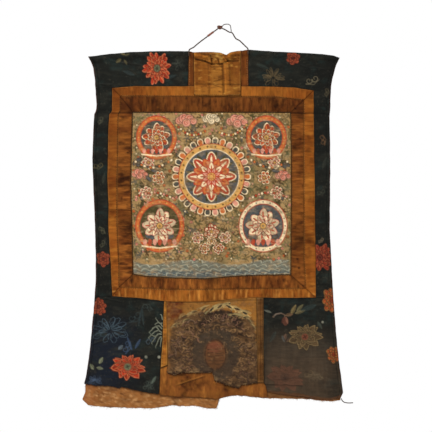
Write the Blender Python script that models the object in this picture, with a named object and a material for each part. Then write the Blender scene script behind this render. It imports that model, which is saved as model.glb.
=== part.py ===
"""A thangka: a painted cloth in a mount of silk panels, lined at the back, hung from a cord.

The origin is the point where a nail takes the eye of the cord. +X runs to the viewer's
right, +Z up, and the front of the cloth faces -Y. Places on the cloth are given in
millimetres as across, to the right of its centre line, and down, below the level of its
top edge.
"""

import bpy
import numpy as np
from mathutils import Vector

MM = 0.001

# Where the cloth hangs under the nail, in millimetres
CENTRE_X = -31.4
TOP_Z = -61.0

# Thicknesses and the order of the layers, in millimetres
SILK = 1.4
LINING = 1.0
LINING_BEHIND = 3.0
LAP_FORWARD = 2.4
LAP_RUN = 18.0
SEAM_HALF_GAP = 0.35

# The casing that holds the stick, each row as (below the top edge, stands out to the front)
CASING = ((0.0, 0.0), (0.8, 2.9), (2.6, 5.0), (6.4, 6.4), (10.5, 5.2), (14.5, 2.2), (19.0, 0.0))
CASING_BACK_SHARE = 0.8

# Cords, in millimetres
CORD_DIAMETER = 3.0
EYE_DIAMETER = 2.0
TAIL_DIAMETER = 2.4
WRAP_DIAMETER = 5.2

# Mesh lines that the sheets share, in millimetres, closer where a crease runs
ROWS = (
    30, 52, 74, 98, 122, 142, 150, 158, 190, 225, 260, 295, 330, 362, 374, 382, 390, 425, 460, 495, 516,
    527, 538, 565, 600, 635, 670, 705, 740, 765, 790, 802, 814, 838,
)
COLUMNS = (
    -270, -235, -200, -165, -130, -95, -60, -28, -10, 8, 22, 37, 65, 90, 102, 113, 124, 155, 190, 225, 260,
)
CLOSEST_LINES = 5.0
LINING_CLOSEST = 12.0
SAME_LINE = 1.2

# Edges that run across the cloth, each point as (across, down)
TOP_EDGE = (
    (-301.2, 15.6), (-272.4, 12.2), (-243.6, 8.6), (-200.4, 4.8), (-128.4, 2.4), (-59.0, 2.8),
    (-47.5, 5.4), (0.0, 4.2), (16.0, 6.2), (31.0, 11.8), (39.6, 6.2), (54.0, 2.6), (66.0, 1.2),
    (83.4, -0.8), (102.0, 0.4), (145.2, 3.6), (202.8, 6.0), (260.4, 9.6), (289.2, 13.0), (302.6, 18.6),
)
BORDER_TOP = (
    (-283.2, 90.0), (-243.6, 90.7), (-190.8, 86.6), (-63.6, 86.4), (84.0, 86.9), (150.0, 87.8),
    (195.6, 89.8), (240.7, 97.2), (281.8, 96.2),
)
GOLD_PANEL_END = ((-46.8, 109.4), (0.0, 110.2), (65.4, 109.4))
INNER_TOP = ((-223.7, 110.4), (-190.8, 110.4), (150.0, 112.8), (216.7, 120.0))
PAINTING_TOP = ((-194.4, 148.8), (186.0, 149.3))
PAINTING_BOTTOM = (
    (-193.7, 538.8), (-163.0, 543.8), (-104.4, 547.2), (-20.4, 549.6), (63.6, 543.1), (103.4, 541.4),
    (186.2, 540.2),
)
INNER_BOTTOM = (
    (-226.5, 569.5), (-157.2, 571.7), (-104.4, 574.6), (15.6, 573.6), (121.2, 572.4), (221.0, 572.4),
)
BORDER_BOTTOM = (
    (-286.0, 592.8), (-243.6, 591.5), (-186.0, 595.4), (-146.2, 599.8), (-118.8, 602.6), (-113.0, 603.0),
    (-70.8, 605.4), (-16.3, 604.4), (19.7, 601.2), (46.8, 597.8), (103.2, 594.4), (120.4, 594.6),
    (178.8, 595.6), (246.0, 594.2), (287.4, 592.0),
)
BROCADE_END_LEFT = (
    (-310.3, 800.0), (-279.6, 805.0), (-249.6, 805.9), (-225.6, 811.0), (-219.6, 807.4),
    (-204.5, 811.9), (-167.0, 820.8), (-129.9, 825.6),
)
BROCADE_END_RIGHT = (
    (128.4, 820.6), (160.0, 826.6), (216.0, 832.6), (251.8, 838.0), (279.6, 838.4), (304.6, 832.6),
)
DOOR_END = (
    (-112.6, 772.6), (-92.6, 778.6), (-76.8, 772.6), (-1.2, 772.6), (2.9, 792.5), (26.6, 800.4),
    (58.6, 810.5), (66.5, 803.5), (105.6, 798.5),
)
DOOR_STRIP_END_LEFT = ((-127.0, 762.0), (-109.4, 755.0))
DOOR_STRIP_END_RIGHT = ((105.6, 798.5), (120.6, 799.0))
FOOT_TOP = ((-127.0, 758.0), (-10.0, 758.0), (12.0, 776.0), (120.6, 782.0))
FOOT_END = (
    (-130.0, 828.0), (-92.0, 831.6), (-32.0, 832.8), (6.0, 836.0), (13.2, 835.2), (26.6, 832.0),
    (38.6, 829.0), (58.8, 828.2), (87.6, 831.6), (116.4, 834.8), (129.0, 834.0),
)
LINING_TOP = ((-289.0, 36.0), (293.0, 36.0))
LINING_END = (
    (-300.5, 852.2), (-272.4, 855.4), (-243.6, 857.5), (-186.0, 859.4), (-142.8, 860.2), (-114.0, 855.4),
    (-99.6, 853.0), (-70.8, 854.9), (-42.0, 854.4), (-13.2, 859.7), (-2.0, 859.0), (9.6, 860.2),
    (11.0, 846.0), (14.0, 836.4), (26.6, 833.3), (38.6, 830.2), (58.8, 829.4), (87.6, 832.8),
    (116.4, 836.0), (145.2, 837.8), (231.6, 838.6), (260.4, 841.7), (279.6, 842.4), (303.4, 838.8),
)

# Edges that run down the cloth, each point as (down, across)
SIDE_LEFT = (
    (15.6, -301.2), (28.8, -293.8), (43.2, -288.2), (72.0, -284.6), (129.6, -280.9), (144.0, -281.5),
    (154.0, -286.0), (172.8, -287.5), (259.2, -290.9), (331.2, -289.0), (388.8, -286.1), (432.0, -284.6),
    (504.0, -282.9), (561.6, -283.4), (619.2, -287.8), (662.4, -291.6), (720.0, -296.9), (777.6, -304.8),
    (800.0, -310.3),
)
SIDE_RIGHT = (
    (18.6, 302.6), (28.8, 297.8), (43.2, 292.1), (72.0, 284.6), (86.4, 282.2), (115.2, 280.8),
    (144.0, 280.1), (158.4, 278.4), (259.2, 280.6), (331.2, 279.9), (432.0, 280.1), (532.8, 284.4),
    (619.2, 289.0), (691.2, 295.0), (748.8, 301.0), (806.4, 308.2), (820.8, 309.6), (832.6, 304.6),
)
TOP_SEAM_LEFT = ((2.8, -59.0), (86.4, -61.0))
TOP_STRIP_LEFT = ((5.4, -47.5), (109.4, -46.8))
TOP_STRIP_RIGHT = ((1.2, 66.0), (109.4, 65.4))
TOP_SEAM_RIGHT = ((-0.8, 83.4), (86.9, 84.0))
BORDER_LEFT = (
    (90.7, -243.6), (146.0, -243.6), (154.0, -250.2), (192.0, -252.7), (312.0, -255.1), (372.0, -252.5),
    (420.0, -253.2), (508.8, -247.9), (591.5, -243.6),
)
BORDER_RIGHT = ((97.2, 240.7), (177.6, 241.2), (336.0, 243.6), (508.8, 245.8), (594.2, 246.0))
INNER_LEFT = (
    (110.4, -223.7), (146.0, -223.7), (154.0, -228.4), (312.0, -231.6), (420.0, -231.6), (508.8, -227.9),
    (569.5, -226.5),
)
INNER_RIGHT = ((120.0, 216.7), (312.0, 217.2), (508.8, 217.9), (572.4, 221.0))
PAINTING_LEFT = ((148.8, -194.4), (177.6, -195.8), (312.0, -199.4), (396.0, -196.8), (538.8, -193.7))
PAINTING_RIGHT = ((149.3, 186.0), (240.0, 187.4), (360.0, 187.4), (540.2, 186.2))
LOWER_SEAM_LEFT = ((602.6, -118.8), (698.4, -122.4), (763.2, -127.2), (828.0, -130.0))
LOWER_SEAM_RIGHT = ((594.6, 120.4), (799.0, 120.6), (808.0, 126.6), (820.6, 128.4), (834.0, 129.0))
DOOR_LEFT = ((603.0, -113.0), (755.0, -109.4), (772.6, -112.6))
DOOR_RIGHT = ((594.4, 103.2), (798.5, 105.6))
LINING_LEFT = (
    (36.0, -289.0), (74.0, -282.4), (122.0, -279.0), (150.0, -281.8), (182.0, -285.8), (259.0, -288.8),
    (440.0, -282.6), (562.0, -281.4), (662.0, -289.5), (786.0, -303.0), (802.8, -307.4), (820.8, -307.4),
    (838.0, -314.6), (848.0, -304.3), (852.2, -300.5),
)
LINING_RIGHT = (
    (36.0, 293.0), (74.0, 282.0), (150.0, 277.2), (440.0, 278.0), (610.0, 286.4), (714.0, 295.4),
    (765.0, 301.0), (786.0, 303.4), (806.4, 305.0), (820.8, 306.6), (838.8, 303.4),
)

# Panels side by side: (node, top edge, right edge, bottom edge, left edge, finish)
TOP_PANELS = (
    ("brocade_top_left", TOP_EDGE, TOP_SEAM_LEFT, BORDER_TOP, SIDE_LEFT, "brocade"),
    ("top_strip_left", TOP_EDGE, TOP_STRIP_LEFT, BORDER_TOP, TOP_SEAM_LEFT, "orange silk"),
    ("top_gold_panel", TOP_EDGE, TOP_STRIP_RIGHT, GOLD_PANEL_END, TOP_STRIP_LEFT, "gold silk"),
    ("top_strip_right", TOP_EDGE, TOP_SEAM_RIGHT, BORDER_TOP, TOP_STRIP_RIGHT, "orange silk"),
    ("brocade_top_right", TOP_EDGE, SIDE_RIGHT, BORDER_TOP, TOP_SEAM_RIGHT, "brocade"),
)
PANELS = (
    ("painting", PAINTING_TOP, PAINTING_RIGHT, PAINTING_BOTTOM, PAINTING_LEFT, "painting"),
    ("brocade_side_left", BORDER_TOP, BORDER_LEFT, BORDER_BOTTOM, SIDE_LEFT, "brocade"),
    ("brocade_side_right", BORDER_TOP, SIDE_RIGHT, BORDER_BOTTOM, BORDER_RIGHT, "brocade"),
    ("brocade_bottom_left", BORDER_BOTTOM, LOWER_SEAM_LEFT, BROCADE_END_LEFT, SIDE_LEFT, "brocade"),
    ("brocade_bottom_right", BORDER_BOTTOM, SIDE_RIGHT, BROCADE_END_RIGHT, LOWER_SEAM_RIGHT, "brocade"),
    ("door_strip_left", BORDER_BOTTOM, DOOR_LEFT, DOOR_STRIP_END_LEFT, LOWER_SEAM_LEFT, "orange silk"),
    ("door_panel", BORDER_BOTTOM, DOOR_RIGHT, DOOR_END, DOOR_LEFT, "door brocade"),
    ("door_strip_right", BORDER_BOTTOM, LOWER_SEAM_RIGHT, DOOR_STRIP_END_RIGHT, DOOR_RIGHT, "orange silk"),
    ("foot_strip", FOOT_TOP, LOWER_SEAM_RIGHT, FOOT_END, LOWER_SEAM_LEFT, "gold silk"),
)
# Frames of four mitred strips: (name, outer edges, inner edges, finish), edges from the top clockwise
FRAMES = (
    (
        "outer_border",
        (BORDER_TOP, BORDER_RIGHT, BORDER_BOTTOM, BORDER_LEFT),
        (INNER_TOP, INNER_RIGHT, INNER_BOTTOM, INNER_LEFT),
        "orange silk",
    ),
    (
        "inner_border",
        (INNER_TOP, INNER_RIGHT, INNER_BOTTOM, INNER_LEFT),
        (PAINTING_TOP, PAINTING_RIGHT, PAINTING_BOTTOM, PAINTING_LEFT),
        "brown silk",
    ),
)
# Sheets whose lower part laps over the sheet below: node and the depth where it starts to come forward
LAPS = {"top_gold_panel": 66.0, "door_strip_left": 732.0, "door_panel": 732.0, "door_strip_right": 732.0}

# Creases and folds, each row as (across and down of one end, of the other, half width, height to the front)
CREASES = (
    (-300, 150, 295, 151, 11, -2.2),
    (-262, 382, -190, 385, 10, 1.6),
    (188, 528, 262, 526, 10, 1.6),
    (128, 801, 200, 804, 10, 2.4),
    (-306, 716, -200, 706, 12, 1.2),
    (114, 566, 115, 768, 13, 3.6),
    (-10, 36, -9, 70, 9, 1.5),
    (22, 40, 22, 70, 9, -1.2),
    (37, 34, 38, 70, 9, 1.8),
    (-118, 620, -122, 730, 10, 1.5),
)
CREASE_END = 16.0

# Broad waves, each row as (height, length, turned by this many degrees, start of the wave in turns)
WAVES = ((3.6, 430.0, 8.0, 0.12), (2.2, 260.0, -24.0, 0.40), (1.6, 340.0, 78.0, 0.15))
# Corners and edges that curl, each row as (across, down, reach, height to the front)
CURLS = (
    (-315, 862, 150, 9.0),
    (312, 845, 160, 9.0),
    (-292, 330, 95, -5.0),
    (284, 420, 105, -6.0),
    (5, 860, 80, 5.0),
)
HANG_START, HANG_FULL = 24.0, 420.0

# The cord's route from the hem, over the casing and up to its wrap, each point as (x, y, z)
ROUTE_LEFT = (
    (-90.3, -8.0, -76.0), (-90.3, -9.0, -71.5), (-90.2, -8.4, -67.0), (-89.9, -6.0, -63.0),
    (-89.2, -2.8, -60.8), (-87.2, -0.6, -58.7), (-81.6, 0.0, -55.7), (-78.2, 0.0, -53.8),
    (-71.5, 0.0, -47.8), (-61.2, 0.0, -39.6), (-49.7, 0.0, -31.2), (-45.4, 0.0, -27.7),
)
ROUTE_WRAP = ((-45.0, 0.0, -27.3), (-38.2, 0.0, -22.2), (-31.8, 0.0, -17.6))
ROUTE_MIDDLE = ((-31.4, 0.0, -17.3), (-27.6, 0.0, -14.7), (-24.8, 0.0, -12.7), (-22.2, 0.0, -10.8))
ROUTE_RIGHT = (
    (-9.4, 0.0, -9.6), (-5.6, 0.0, -11.1), (-1.9, 0.0, -13.2), (4.1, 0.0, -16.8), (7.9, 0.0, -18.6),
    (11.5, 0.0, -18.4), (15.6, 0.0, -22.8), (18.7, 0.0, -28.6), (23.3, 0.0, -34.3), (31.0, 0.0, -38.4),
    (38.6, 0.0, -45.4), (45.1, 0.0, -51.7), (48.4, -0.4, -55.0), (50.3, -2.8, -57.2), (51.0, -6.0, -59.4),
    (51.3, -8.4, -63.4), (51.4, -9.0, -67.9), (51.3, -8.0, -72.5),
)
ROUTE_EYE = (
    (-9.6, 0.0, -3.2), (-7.9, 0.0, -1.2), (-5.5, 0.0, 0.3), (-0.2, 0.0, 1.1), (5.3, 0.0, 0.5),
    (9.1, 0.0, -3.1), (10.3, 0.0, -9.4), (11.2, 0.0, -16.1),
)
ROUTE_TAIL = (
    (274.5, 0.0, -896.2), (276.6, 0.0, -901.2), (281.0, 0.0, -904.8), (288.0, 0.0, -906.6),
    (295.0, 0.0, -906.9), (302.4, 0.0, -906.4),
)
TAIL_AT = (303.4, 836.0)
KNOT_CENTRE = (-16.3, 0.0, -6.5)
KNOT_SIZE = (6.0, 3.6, 4.3)
KNOT_LUMP = 0.12
POINTS_PER_DIAMETER = 0.4

# Finishes, each as (red, green, blue, roughness)
FINISHES = {
    "brocade": (0.018, 0.026, 0.032, 0.62),
    "orange silk": (0.33, 0.13, 0.035, 0.58),
    "brown silk": (0.13, 0.045, 0.018, 0.66),
    "gold silk": (0.36, 0.17, 0.05, 0.55),
    "door brocade": (0.13, 0.085, 0.045, 0.7),
    "painting": (0.30, 0.22, 0.10, 0.8),
    "lining": (0.43, 0.21, 0.075, 0.88),
    "cord": (0.19, 0.12, 0.085, 0.85),
    "wrap": (0.34, 0.15, 0.11, 0.85),
}


def smooth(value, start, full):
    """0 before start, 1 after full, and a smooth step between."""
    share = np.clip((value - start) / (full - start), 0.0, 1.0)
    return share * share * (3.0 - 2.0 * share)


def crease(across, down, a0, d0, a1, d1, half_width, height):
    """A soft ridge or trough along the line between two points, fading at its ends."""
    along = np.array([a1 - a0, d1 - d0], float)
    length = np.hypot(*along)
    along /= length
    run = (across - a0) * along[0] + (down - d0) * along[1]
    off = np.abs((across - a0) * along[1] - (down - d0) * along[0])
    ends = smooth(run, -CREASE_END, 0.0) * (1.0 - smooth(run, length, length + CREASE_END))
    return height * ends * (1.0 - smooth(off, 0.0, half_width))


def relief(across, down, ridges=True):
    """How far back, in millimetres, the cloth lies from its flat plane at a place on it."""
    forward = 0.0
    for height, length, degrees, start in WAVES:
        turn = np.radians(degrees)
        along = across * np.cos(turn) + down * np.sin(turn)
        forward = forward + height * np.sin(2.0 * np.pi * (along / length + start))
    for a, d, reach, height in CURLS:
        forward = forward + height * (1.0 - smooth(np.hypot(across - a, down - d), 0.0, reach))
    forward = forward * smooth(down, HANG_START, HANG_FULL)
    for row in CREASES:
        if ridges or row[-1] < 0.0:
            forward = forward + crease(across, down, *row)
    return -forward


def at(edge, value):
    """The second column of an edge's table where its first column is value."""
    table = np.array(edge)
    return np.interp(value, table[:, 0], table[:, 1])


def corner(across_edge, down_edge):
    """Where an edge that runs across meets one that runs down."""
    down = across_edge[0][1]
    for _ in range(12):
        across = at(down_edge, down)
        down = at(across_edge, across)
    return np.array([across, down])


def side(edge, start, end, shares, runs_down):
    """Points along an edge between two corners, or along a straight mitre where edge is None."""
    shares = np.array(shares)[:, None]
    points = start + (end - start) * shares
    if edge is not None and runs_down:
        points[:, 0] = at(edge, points[:, 1])
    elif edge is not None:
        points[:, 1] = at(edge, points[:, 0])
    return points


def line_shares(shared, spans, edges, closest):
    """Where a sheet's mesh lines lie between two sides: at every bend of its edges, then at shared lines."""
    found = [0.0, 1.0]
    width = abs(spans[0][1] - spans[0][0])
    for (start, end), edge in zip(spans, edges):
        for value, _ in edge or ():
            share = (value - start) / (end - start)
            if SAME_LINE / width < min(share, 1.0 - share):
                if min(abs(share - other) for other in found) > SAME_LINE / width:
                    found.append(share)
    start, end = np.mean(spans, axis=0)
    for value in shared:
        share = (value - start) / (end - start)
        if 0.0 < share < 1.0 and min(abs(share - other) for other in found) > closest / width:
            found.append(share)
    return sorted(found)


def patch(corners, edges, rows, columns):
    """A grid of places spread between four edges, as rows of (across, down)."""
    top_left, top_right, bottom_right, bottom_left = corners
    top, right, bottom, left = edges
    upper = side(top, top_left, top_right, columns, False)[None]
    lower = side(bottom, bottom_left, bottom_right, columns, False)[None]
    first = side(left, top_left, bottom_left, rows, True)[:, None]
    last = side(right, top_right, bottom_right, rows, True)[:, None]
    t = np.array(rows)[:, None, None]
    s = np.array(columns)[None, :, None]
    flat = (1 - t) * ((1 - s) * top_left + s * top_right) + t * ((1 - s) * bottom_left + s * bottom_right)
    return (1 - t) * upper + t * lower + (1 - s) * first + s * last - flat


def drawn_in(grid):
    """The grid with its rim moved in by half a seam's gap."""
    moved = grid.copy()
    for rim, within in (((0,), (1,)), ((-1,), (-2,))):
        for take in (lambda k: (k[0], slice(None)), lambda k: (slice(None), k[0])):
            step = grid[take(within)] - grid[take(rim)]
            moved[take(rim)] += SEAM_HALF_GAP * step / np.linalg.norm(step, axis=-1, keepdims=True)
    return moved


def sheet_mesh(name, grid, front, back):
    """A closed sheet between a front and a back grid of depths, all in millimetres."""
    rows, columns = grid.shape[:2]
    points = np.empty((2, rows, columns, 3))
    points[..., 0] = CENTRE_X + grid[..., 0]
    points[..., 2] = TOP_Z - grid[..., 1]
    points[0, ..., 1] = front
    points[1, ..., 1] = back
    index = np.arange(2 * rows * columns).reshape(2, rows, columns)
    faces = []
    for i in range(rows - 1):
        for j in range(columns - 1):
            a, b, c, d = index[0, i, j], index[0, i + 1, j], index[0, i + 1, j + 1], index[0, i, j + 1]
            faces.append((a, b, c, d))
            behind = rows * columns
            faces.append((d + behind, c + behind, b + behind, a + behind))
    rim = np.concatenate(
        [index[:, 0, :-1], index[:, :-1, -1], index[:, -1, :0:-1], index[:, :0:-1, 0]], axis=1
    )
    for k in range(rim.shape[1]):
        following = (k + 1) % rim.shape[1]
        faces.append((rim[0, k], rim[0, following], rim[1, following], rim[1, k]))
    mesh = bpy.data.meshes.new(name)
    mesh.from_pydata((points.reshape(-1, 3) * MM).tolist(), [], [tuple(map(int, f)) for f in faces])
    mesh.validate()
    return mesh


def place(name, mesh, finish, materials):
    """Puts a finished shape into the scene as a named piece."""
    mesh.materials.append(materials[finish])
    piece = bpy.data.objects.new(name, mesh)
    bpy.context.scene.collection.objects.link(piece)
    return piece


def sheet(name, corners, edges, finish, materials, thickness=SILK, behind=0.0, casing=False,
          every=1, closest=CLOSEST_LINES):
    """One cut piece of cloth between four edges, hung in the folds that the pieces share."""
    top_left, top_right, bottom_right, bottom_left = corners
    top, right, bottom, left = edges
    downs = ((top_left[1], bottom_left[1]), (top_right[1], bottom_right[1]))
    acrosses = ((top_left[0], top_right[0]), (bottom_left[0], bottom_right[0]))
    rows = line_shares(ROWS[::every], downs, (left, right), closest)
    columns = line_shares(COLUMNS[::every], acrosses, (top, bottom), closest)
    if casing:
        height = (bottom_left[1] - top_left[1] + bottom_right[1] - top_right[1]) / 2
        steps = [depth / height for depth, _ in CASING]
        rows = steps + [share for share in rows if share > steps[-1] + CLOSEST_LINES / height]
    grid = drawn_in(patch(corners, edges, rows, columns))
    across, down = grid[..., 0], grid[..., 1]
    middle = relief(across, down, ridges=not behind) + behind
    if name in LAPS:
        middle = middle - LAP_FORWARD * smooth(down, LAPS[name], LAPS[name] + LAP_RUN)
    roll = np.zeros_like(middle)
    if casing:
        profile = np.array(CASING)
        roll = np.interp(np.array(rows) * height, profile[:, 0], profile[:, 1])[:, None] + roll
    mesh = sheet_mesh(
        name, grid, middle - thickness / 2 - roll, middle + thickness / 2 + CASING_BACK_SHARE * roll
    )
    return place(name, mesh, finish, materials)


def panel(name, top, right, bottom, left, finish, materials, **options):
    """A piece of cloth bounded by four seams or hems."""
    corners = (corner(top, left), corner(top, right), corner(bottom, right), corner(bottom, left))
    return sheet(name, corners, (top, right, bottom, left), finish, materials, **options)


def mitred_frame(name, outer, inner, finish, materials):
    """Four strips that meet in mitres round a window."""
    outside = [corner(outer[row], outer[column]) for row, column in ((0, 3), (0, 1), (2, 1), (2, 3))]
    inside = [corner(inner[row], inner[column]) for row, column in ((0, 3), (0, 1), (2, 1), (2, 3))]
    strips = (
        ("top", (outside[0], outside[1], inside[1], inside[0]), (outer[0], None, inner[0], None)),
        ("right", (inside[1], outside[1], outside[2], inside[2]), (None, outer[1], None, inner[1])),
        ("bottom", (inside[3], inside[2], outside[2], outside[3]), (inner[2], None, outer[2], None)),
        ("left", (outside[0], inside[0], inside[3], outside[3]), (None, inner[3], None, outer[3])),
    )
    for place_name, corners, edges in strips:
        sheet(f"{name}_{place_name}", corners, edges, finish, materials)


def smooth_route(route, spacing):
    """Evenly spaced points on a smooth curve through a route's own points."""
    points = [Vector(p) for p in route]
    ends = [2 * points[0] - points[1], *points, 2 * points[-1] - points[-2]]
    fine = []
    for p0, p1, p2, p3 in zip(ends, ends[1:], ends[2:], ends[3:]):
        for t in np.linspace(0.0, 1.0, 12, endpoint=False):
            fine.append(
                0.5 * (2 * p1 + (p2 - p0) * t + (2 * p0 - 5 * p1 + 4 * p2 - p3) * t**2
                       + (3 * p1 - p0 - 3 * p2 + p3) * t**3)
            )
    fine = np.array([*fine, points[-1]])
    run = np.concatenate([[0.0], np.cumsum(np.linalg.norm(np.diff(fine, axis=0), axis=1))])
    places = np.linspace(0.0, run[-1], max(4, round(run[-1] / spacing) + 1))
    return np.stack([np.interp(places, run, fine[:, k]) for k in range(3)], axis=1)


def tube(name, route, diameter, finish, materials):
    """A length of cord or binding along a route."""
    points = smooth_route(route, diameter / POINTS_PER_DIAMETER)
    curve = bpy.data.curves.new(name, "CURVE")
    curve.dimensions = "3D"
    curve.bevel_depth = diameter / 2 * MM
    curve.bevel_resolution = 2
    curve.use_fill_caps = True
    spline = curve.splines.new("POLY")
    spline.points.add(len(points) - 1)
    for point, co in zip(spline.points, points):
        point.co = (*(co * MM), 1.0)
    return place(name, curve, finish, materials)


def knot(materials):
    """The lumpy knot that gathers the two strands and the eye."""
    bpy.ops.mesh.primitive_ico_sphere_add(subdivisions=3, radius=1.0)
    piece = bpy.context.object
    piece.name = "cord_knot"
    for vertex in piece.data.vertices:
        x, y, z = vertex.co
        lump = 1.0 + KNOT_LUMP * np.sin(3.0 * np.arctan2(z, x) + 4.0 * y)
        vertex.co = [MM * (c + lump * r * v) for c, r, v in zip(KNOT_CENTRE, KNOT_SIZE, (x, y, z))]
    piece.data.materials.append(materials["wrap"])
    piece.data.shade_smooth()


def make_materials():
    """One plain finish for each cloth and for the cord."""
    materials = {}
    for name, (red, green, blue, roughness) in FINISHES.items():
        material = bpy.data.materials.new(name)
        material.use_nodes = True
        shader = material.node_tree.nodes["Principled BSDF"]
        shader.inputs["Base Color"].default_value = (red, green, blue, 1.0)
        shader.inputs["Roughness"].default_value = roughness
        shader.inputs["Metallic"].default_value = 0.0
        materials[name] = material
    return materials


def main():
    for startup in list(bpy.data.objects):
        bpy.data.objects.remove(startup)
    materials = make_materials()
    panel(
        "lining", LINING_TOP, LINING_RIGHT, LINING_END, LINING_LEFT, "lining", materials,
        thickness=LINING, behind=LINING_BEHIND, every=2, closest=LINING_CLOSEST,
    )
    for row in TOP_PANELS:
        panel(*row, materials, casing=True)
    for row in PANELS:
        panel(*row, materials)
    for row in FRAMES:
        mitred_frame(*row, materials)

    tube("cord_left", ROUTE_LEFT, CORD_DIAMETER, "cord", materials)
    tube("cord_wrap", ROUTE_WRAP, WRAP_DIAMETER, "wrap", materials)
    tube("cord_middle", ROUTE_MIDDLE, CORD_DIAMETER, "cord", materials)
    tube("cord_right", ROUTE_RIGHT, CORD_DIAMETER, "cord", materials)
    tube("cord_eye", ROUTE_EYE, EYE_DIAMETER, "cord", materials)
    knot(materials)
    depth = float(relief(*TAIL_AT)) + LINING_BEHIND
    tube("corner_tail", [(x, y + depth, z) for x, y, z in ROUTE_TAIL], TAIL_DIAMETER, "cord", materials)


main()
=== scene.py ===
"""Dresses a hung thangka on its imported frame: its cloths, seams, painted centre, stitches and cord.

Places on the cloth are in millimetres: across, to the right of its centre line, and down, below its
top edge. The scene is in metres, with the origin under the nail, +Z up and the front facing -Y.
"""

import logging
import math
from dataclasses import dataclass, field
from enum import Enum
from functools import partial
from typing import Callable, ClassVar, Sequence

import bpy
import numpy as np
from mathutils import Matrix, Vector


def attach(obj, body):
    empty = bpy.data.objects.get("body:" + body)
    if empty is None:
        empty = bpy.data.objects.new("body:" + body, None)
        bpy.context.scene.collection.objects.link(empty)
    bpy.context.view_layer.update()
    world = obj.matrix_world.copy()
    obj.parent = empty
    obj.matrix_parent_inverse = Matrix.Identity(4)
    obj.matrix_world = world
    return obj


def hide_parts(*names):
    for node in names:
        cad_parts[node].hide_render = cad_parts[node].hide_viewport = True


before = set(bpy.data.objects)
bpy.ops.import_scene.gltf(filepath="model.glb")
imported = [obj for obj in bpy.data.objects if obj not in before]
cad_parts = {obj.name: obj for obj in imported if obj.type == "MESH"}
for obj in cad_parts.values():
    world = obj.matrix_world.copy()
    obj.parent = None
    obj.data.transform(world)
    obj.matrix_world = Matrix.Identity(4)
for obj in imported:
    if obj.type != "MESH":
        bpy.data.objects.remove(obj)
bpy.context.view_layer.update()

MM = 0.001
LOG = logging.getLogger("thangka")
Array = np.ndarray
Edge = tuple[tuple[float, float], ...]
Colour = tuple[float, float, float]

# Where the cloth hangs under the nail, in millimetres
CENTRE_X = -31.4
TOP_Z = -61

# Thicknesses and the order of the layers, in millimetres
SILK = 1.4
LINING = 1
LINING_BEHIND = 3
LAP_FORWARD = 2.4
LAP_RUN = 18
CASING = ((0, 0), (0.8, 2.9), (2.6, 5), (6.4, 6.4), (10.5, 5.2), (14.5, 2.2), (19, 0))
CASING_BACK_SHARE = 0.8

# Edges that run across the cloth, each point as (across, down)
TOP_EDGE = (
    (-301.2, 15.6), (-272.4, 12.2), (-243.6, 8.6), (-200.4, 4.8), (-128.4, 2.4), (-59, 2.8),
    (-47.5, 5.4), (0, 4.2), (16, 6.2), (31, 11.8), (39.6, 6.2), (54, 2.6), (66, 1.2),
    (83.4, -0.8), (102, 0.4), (145.2, 3.6), (202.8, 6), (260.4, 9.6), (289.2, 13), (302.6, 18.6),
)
BORDER_TOP = (
    (-283.2, 90), (-243.6, 90.7), (-190.8, 86.6), (-63.6, 86.4), (84, 86.9), (150, 87.8),
    (195.6, 89.8), (240.7, 97.2), (281.8, 96.2),
)
GOLD_PANEL_END = ((-46.8, 109.4), (0, 110.2), (65.4, 109.4))
INNER_TOP = ((-223.7, 110.4), (-190.8, 110.4), (150, 112.8), (216.7, 120))
PAINTING_TOP = ((-194.4, 148.8), (186, 149.3))
PAINTING_BOTTOM = (
    (-193.7, 538.8), (-163, 543.8), (-104.4, 547.2), (-20.4, 549.6), (63.6, 543.1), (103.4, 541.4),
    (186.2, 540.2),
)
INNER_BOTTOM = (
    (-226.5, 569.5), (-157.2, 571.7), (-104.4, 574.6), (15.6, 573.6), (121.2, 572.4), (221, 572.4),
)
BORDER_BOTTOM = (
    (-286, 592.8), (-243.6, 591.5), (-186, 595.4), (-146.2, 599.8), (-118.8, 602.6), (-113, 603),
    (-70.8, 605.4), (-16.3, 604.4), (19.7, 601.2), (46.8, 597.8), (103.2, 594.4), (120.4, 594.6),
    (178.8, 595.6), (246, 594.2), (287.4, 592),
)
BROCADE_END_LEFT = (
    (-310.3, 800), (-279.6, 805), (-249.6, 805.9), (-225.6, 811), (-219.6, 807.4),
    (-204.5, 811.9), (-167, 820.8), (-129.9, 825.6),
)
BROCADE_END_RIGHT = (
    (128.4, 820.6), (160, 826.6), (216, 832.6), (251.8, 838), (279.6, 838.4), (304.6, 832.6),
)
DOOR_END = (
    (-112.6, 772.6), (-92.6, 778.6), (-76.8, 772.6), (-1.2, 772.6), (2.9, 792.5), (26.6, 800.4),
    (58.6, 810.5), (66.5, 803.5), (105.6, 798.5),
)
DOOR_STRIP_END_LEFT = ((-127, 762), (-109.4, 755))
DOOR_STRIP_END_RIGHT = ((105.6, 798.5), (120.6, 799))
FOOT_TOP = ((-127, 758), (-10, 758), (12, 776), (120.6, 782))
FOOT_END = (
    (-130, 828), (-92, 831.6), (-32, 832.8), (6, 836), (13.2, 835.2), (26.6, 832),
    (38.6, 829), (58.8, 828.2), (87.6, 831.6), (116.4, 834.8), (129, 834),
)
LINING_TOP = ((-289, 36), (293, 36))
LINING_END = (
    (-300.5, 852.2), (-272.4, 855.4), (-243.6, 857.5), (-186, 859.4), (-142.8, 860.2), (-114, 855.4),
    (-99.6, 853), (-70.8, 854.9), (-42, 854.4), (-13.2, 859.7), (-2, 859), (9.6, 860.2),
    (11, 846), (14, 836.4), (26.6, 833.3), (38.6, 830.2), (58.8, 829.4), (87.6, 832.8),
    (116.4, 836), (145.2, 837.8), (231.6, 838.6), (260.4, 841.7), (279.6, 842.4), (303.4, 838.8),
)

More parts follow.
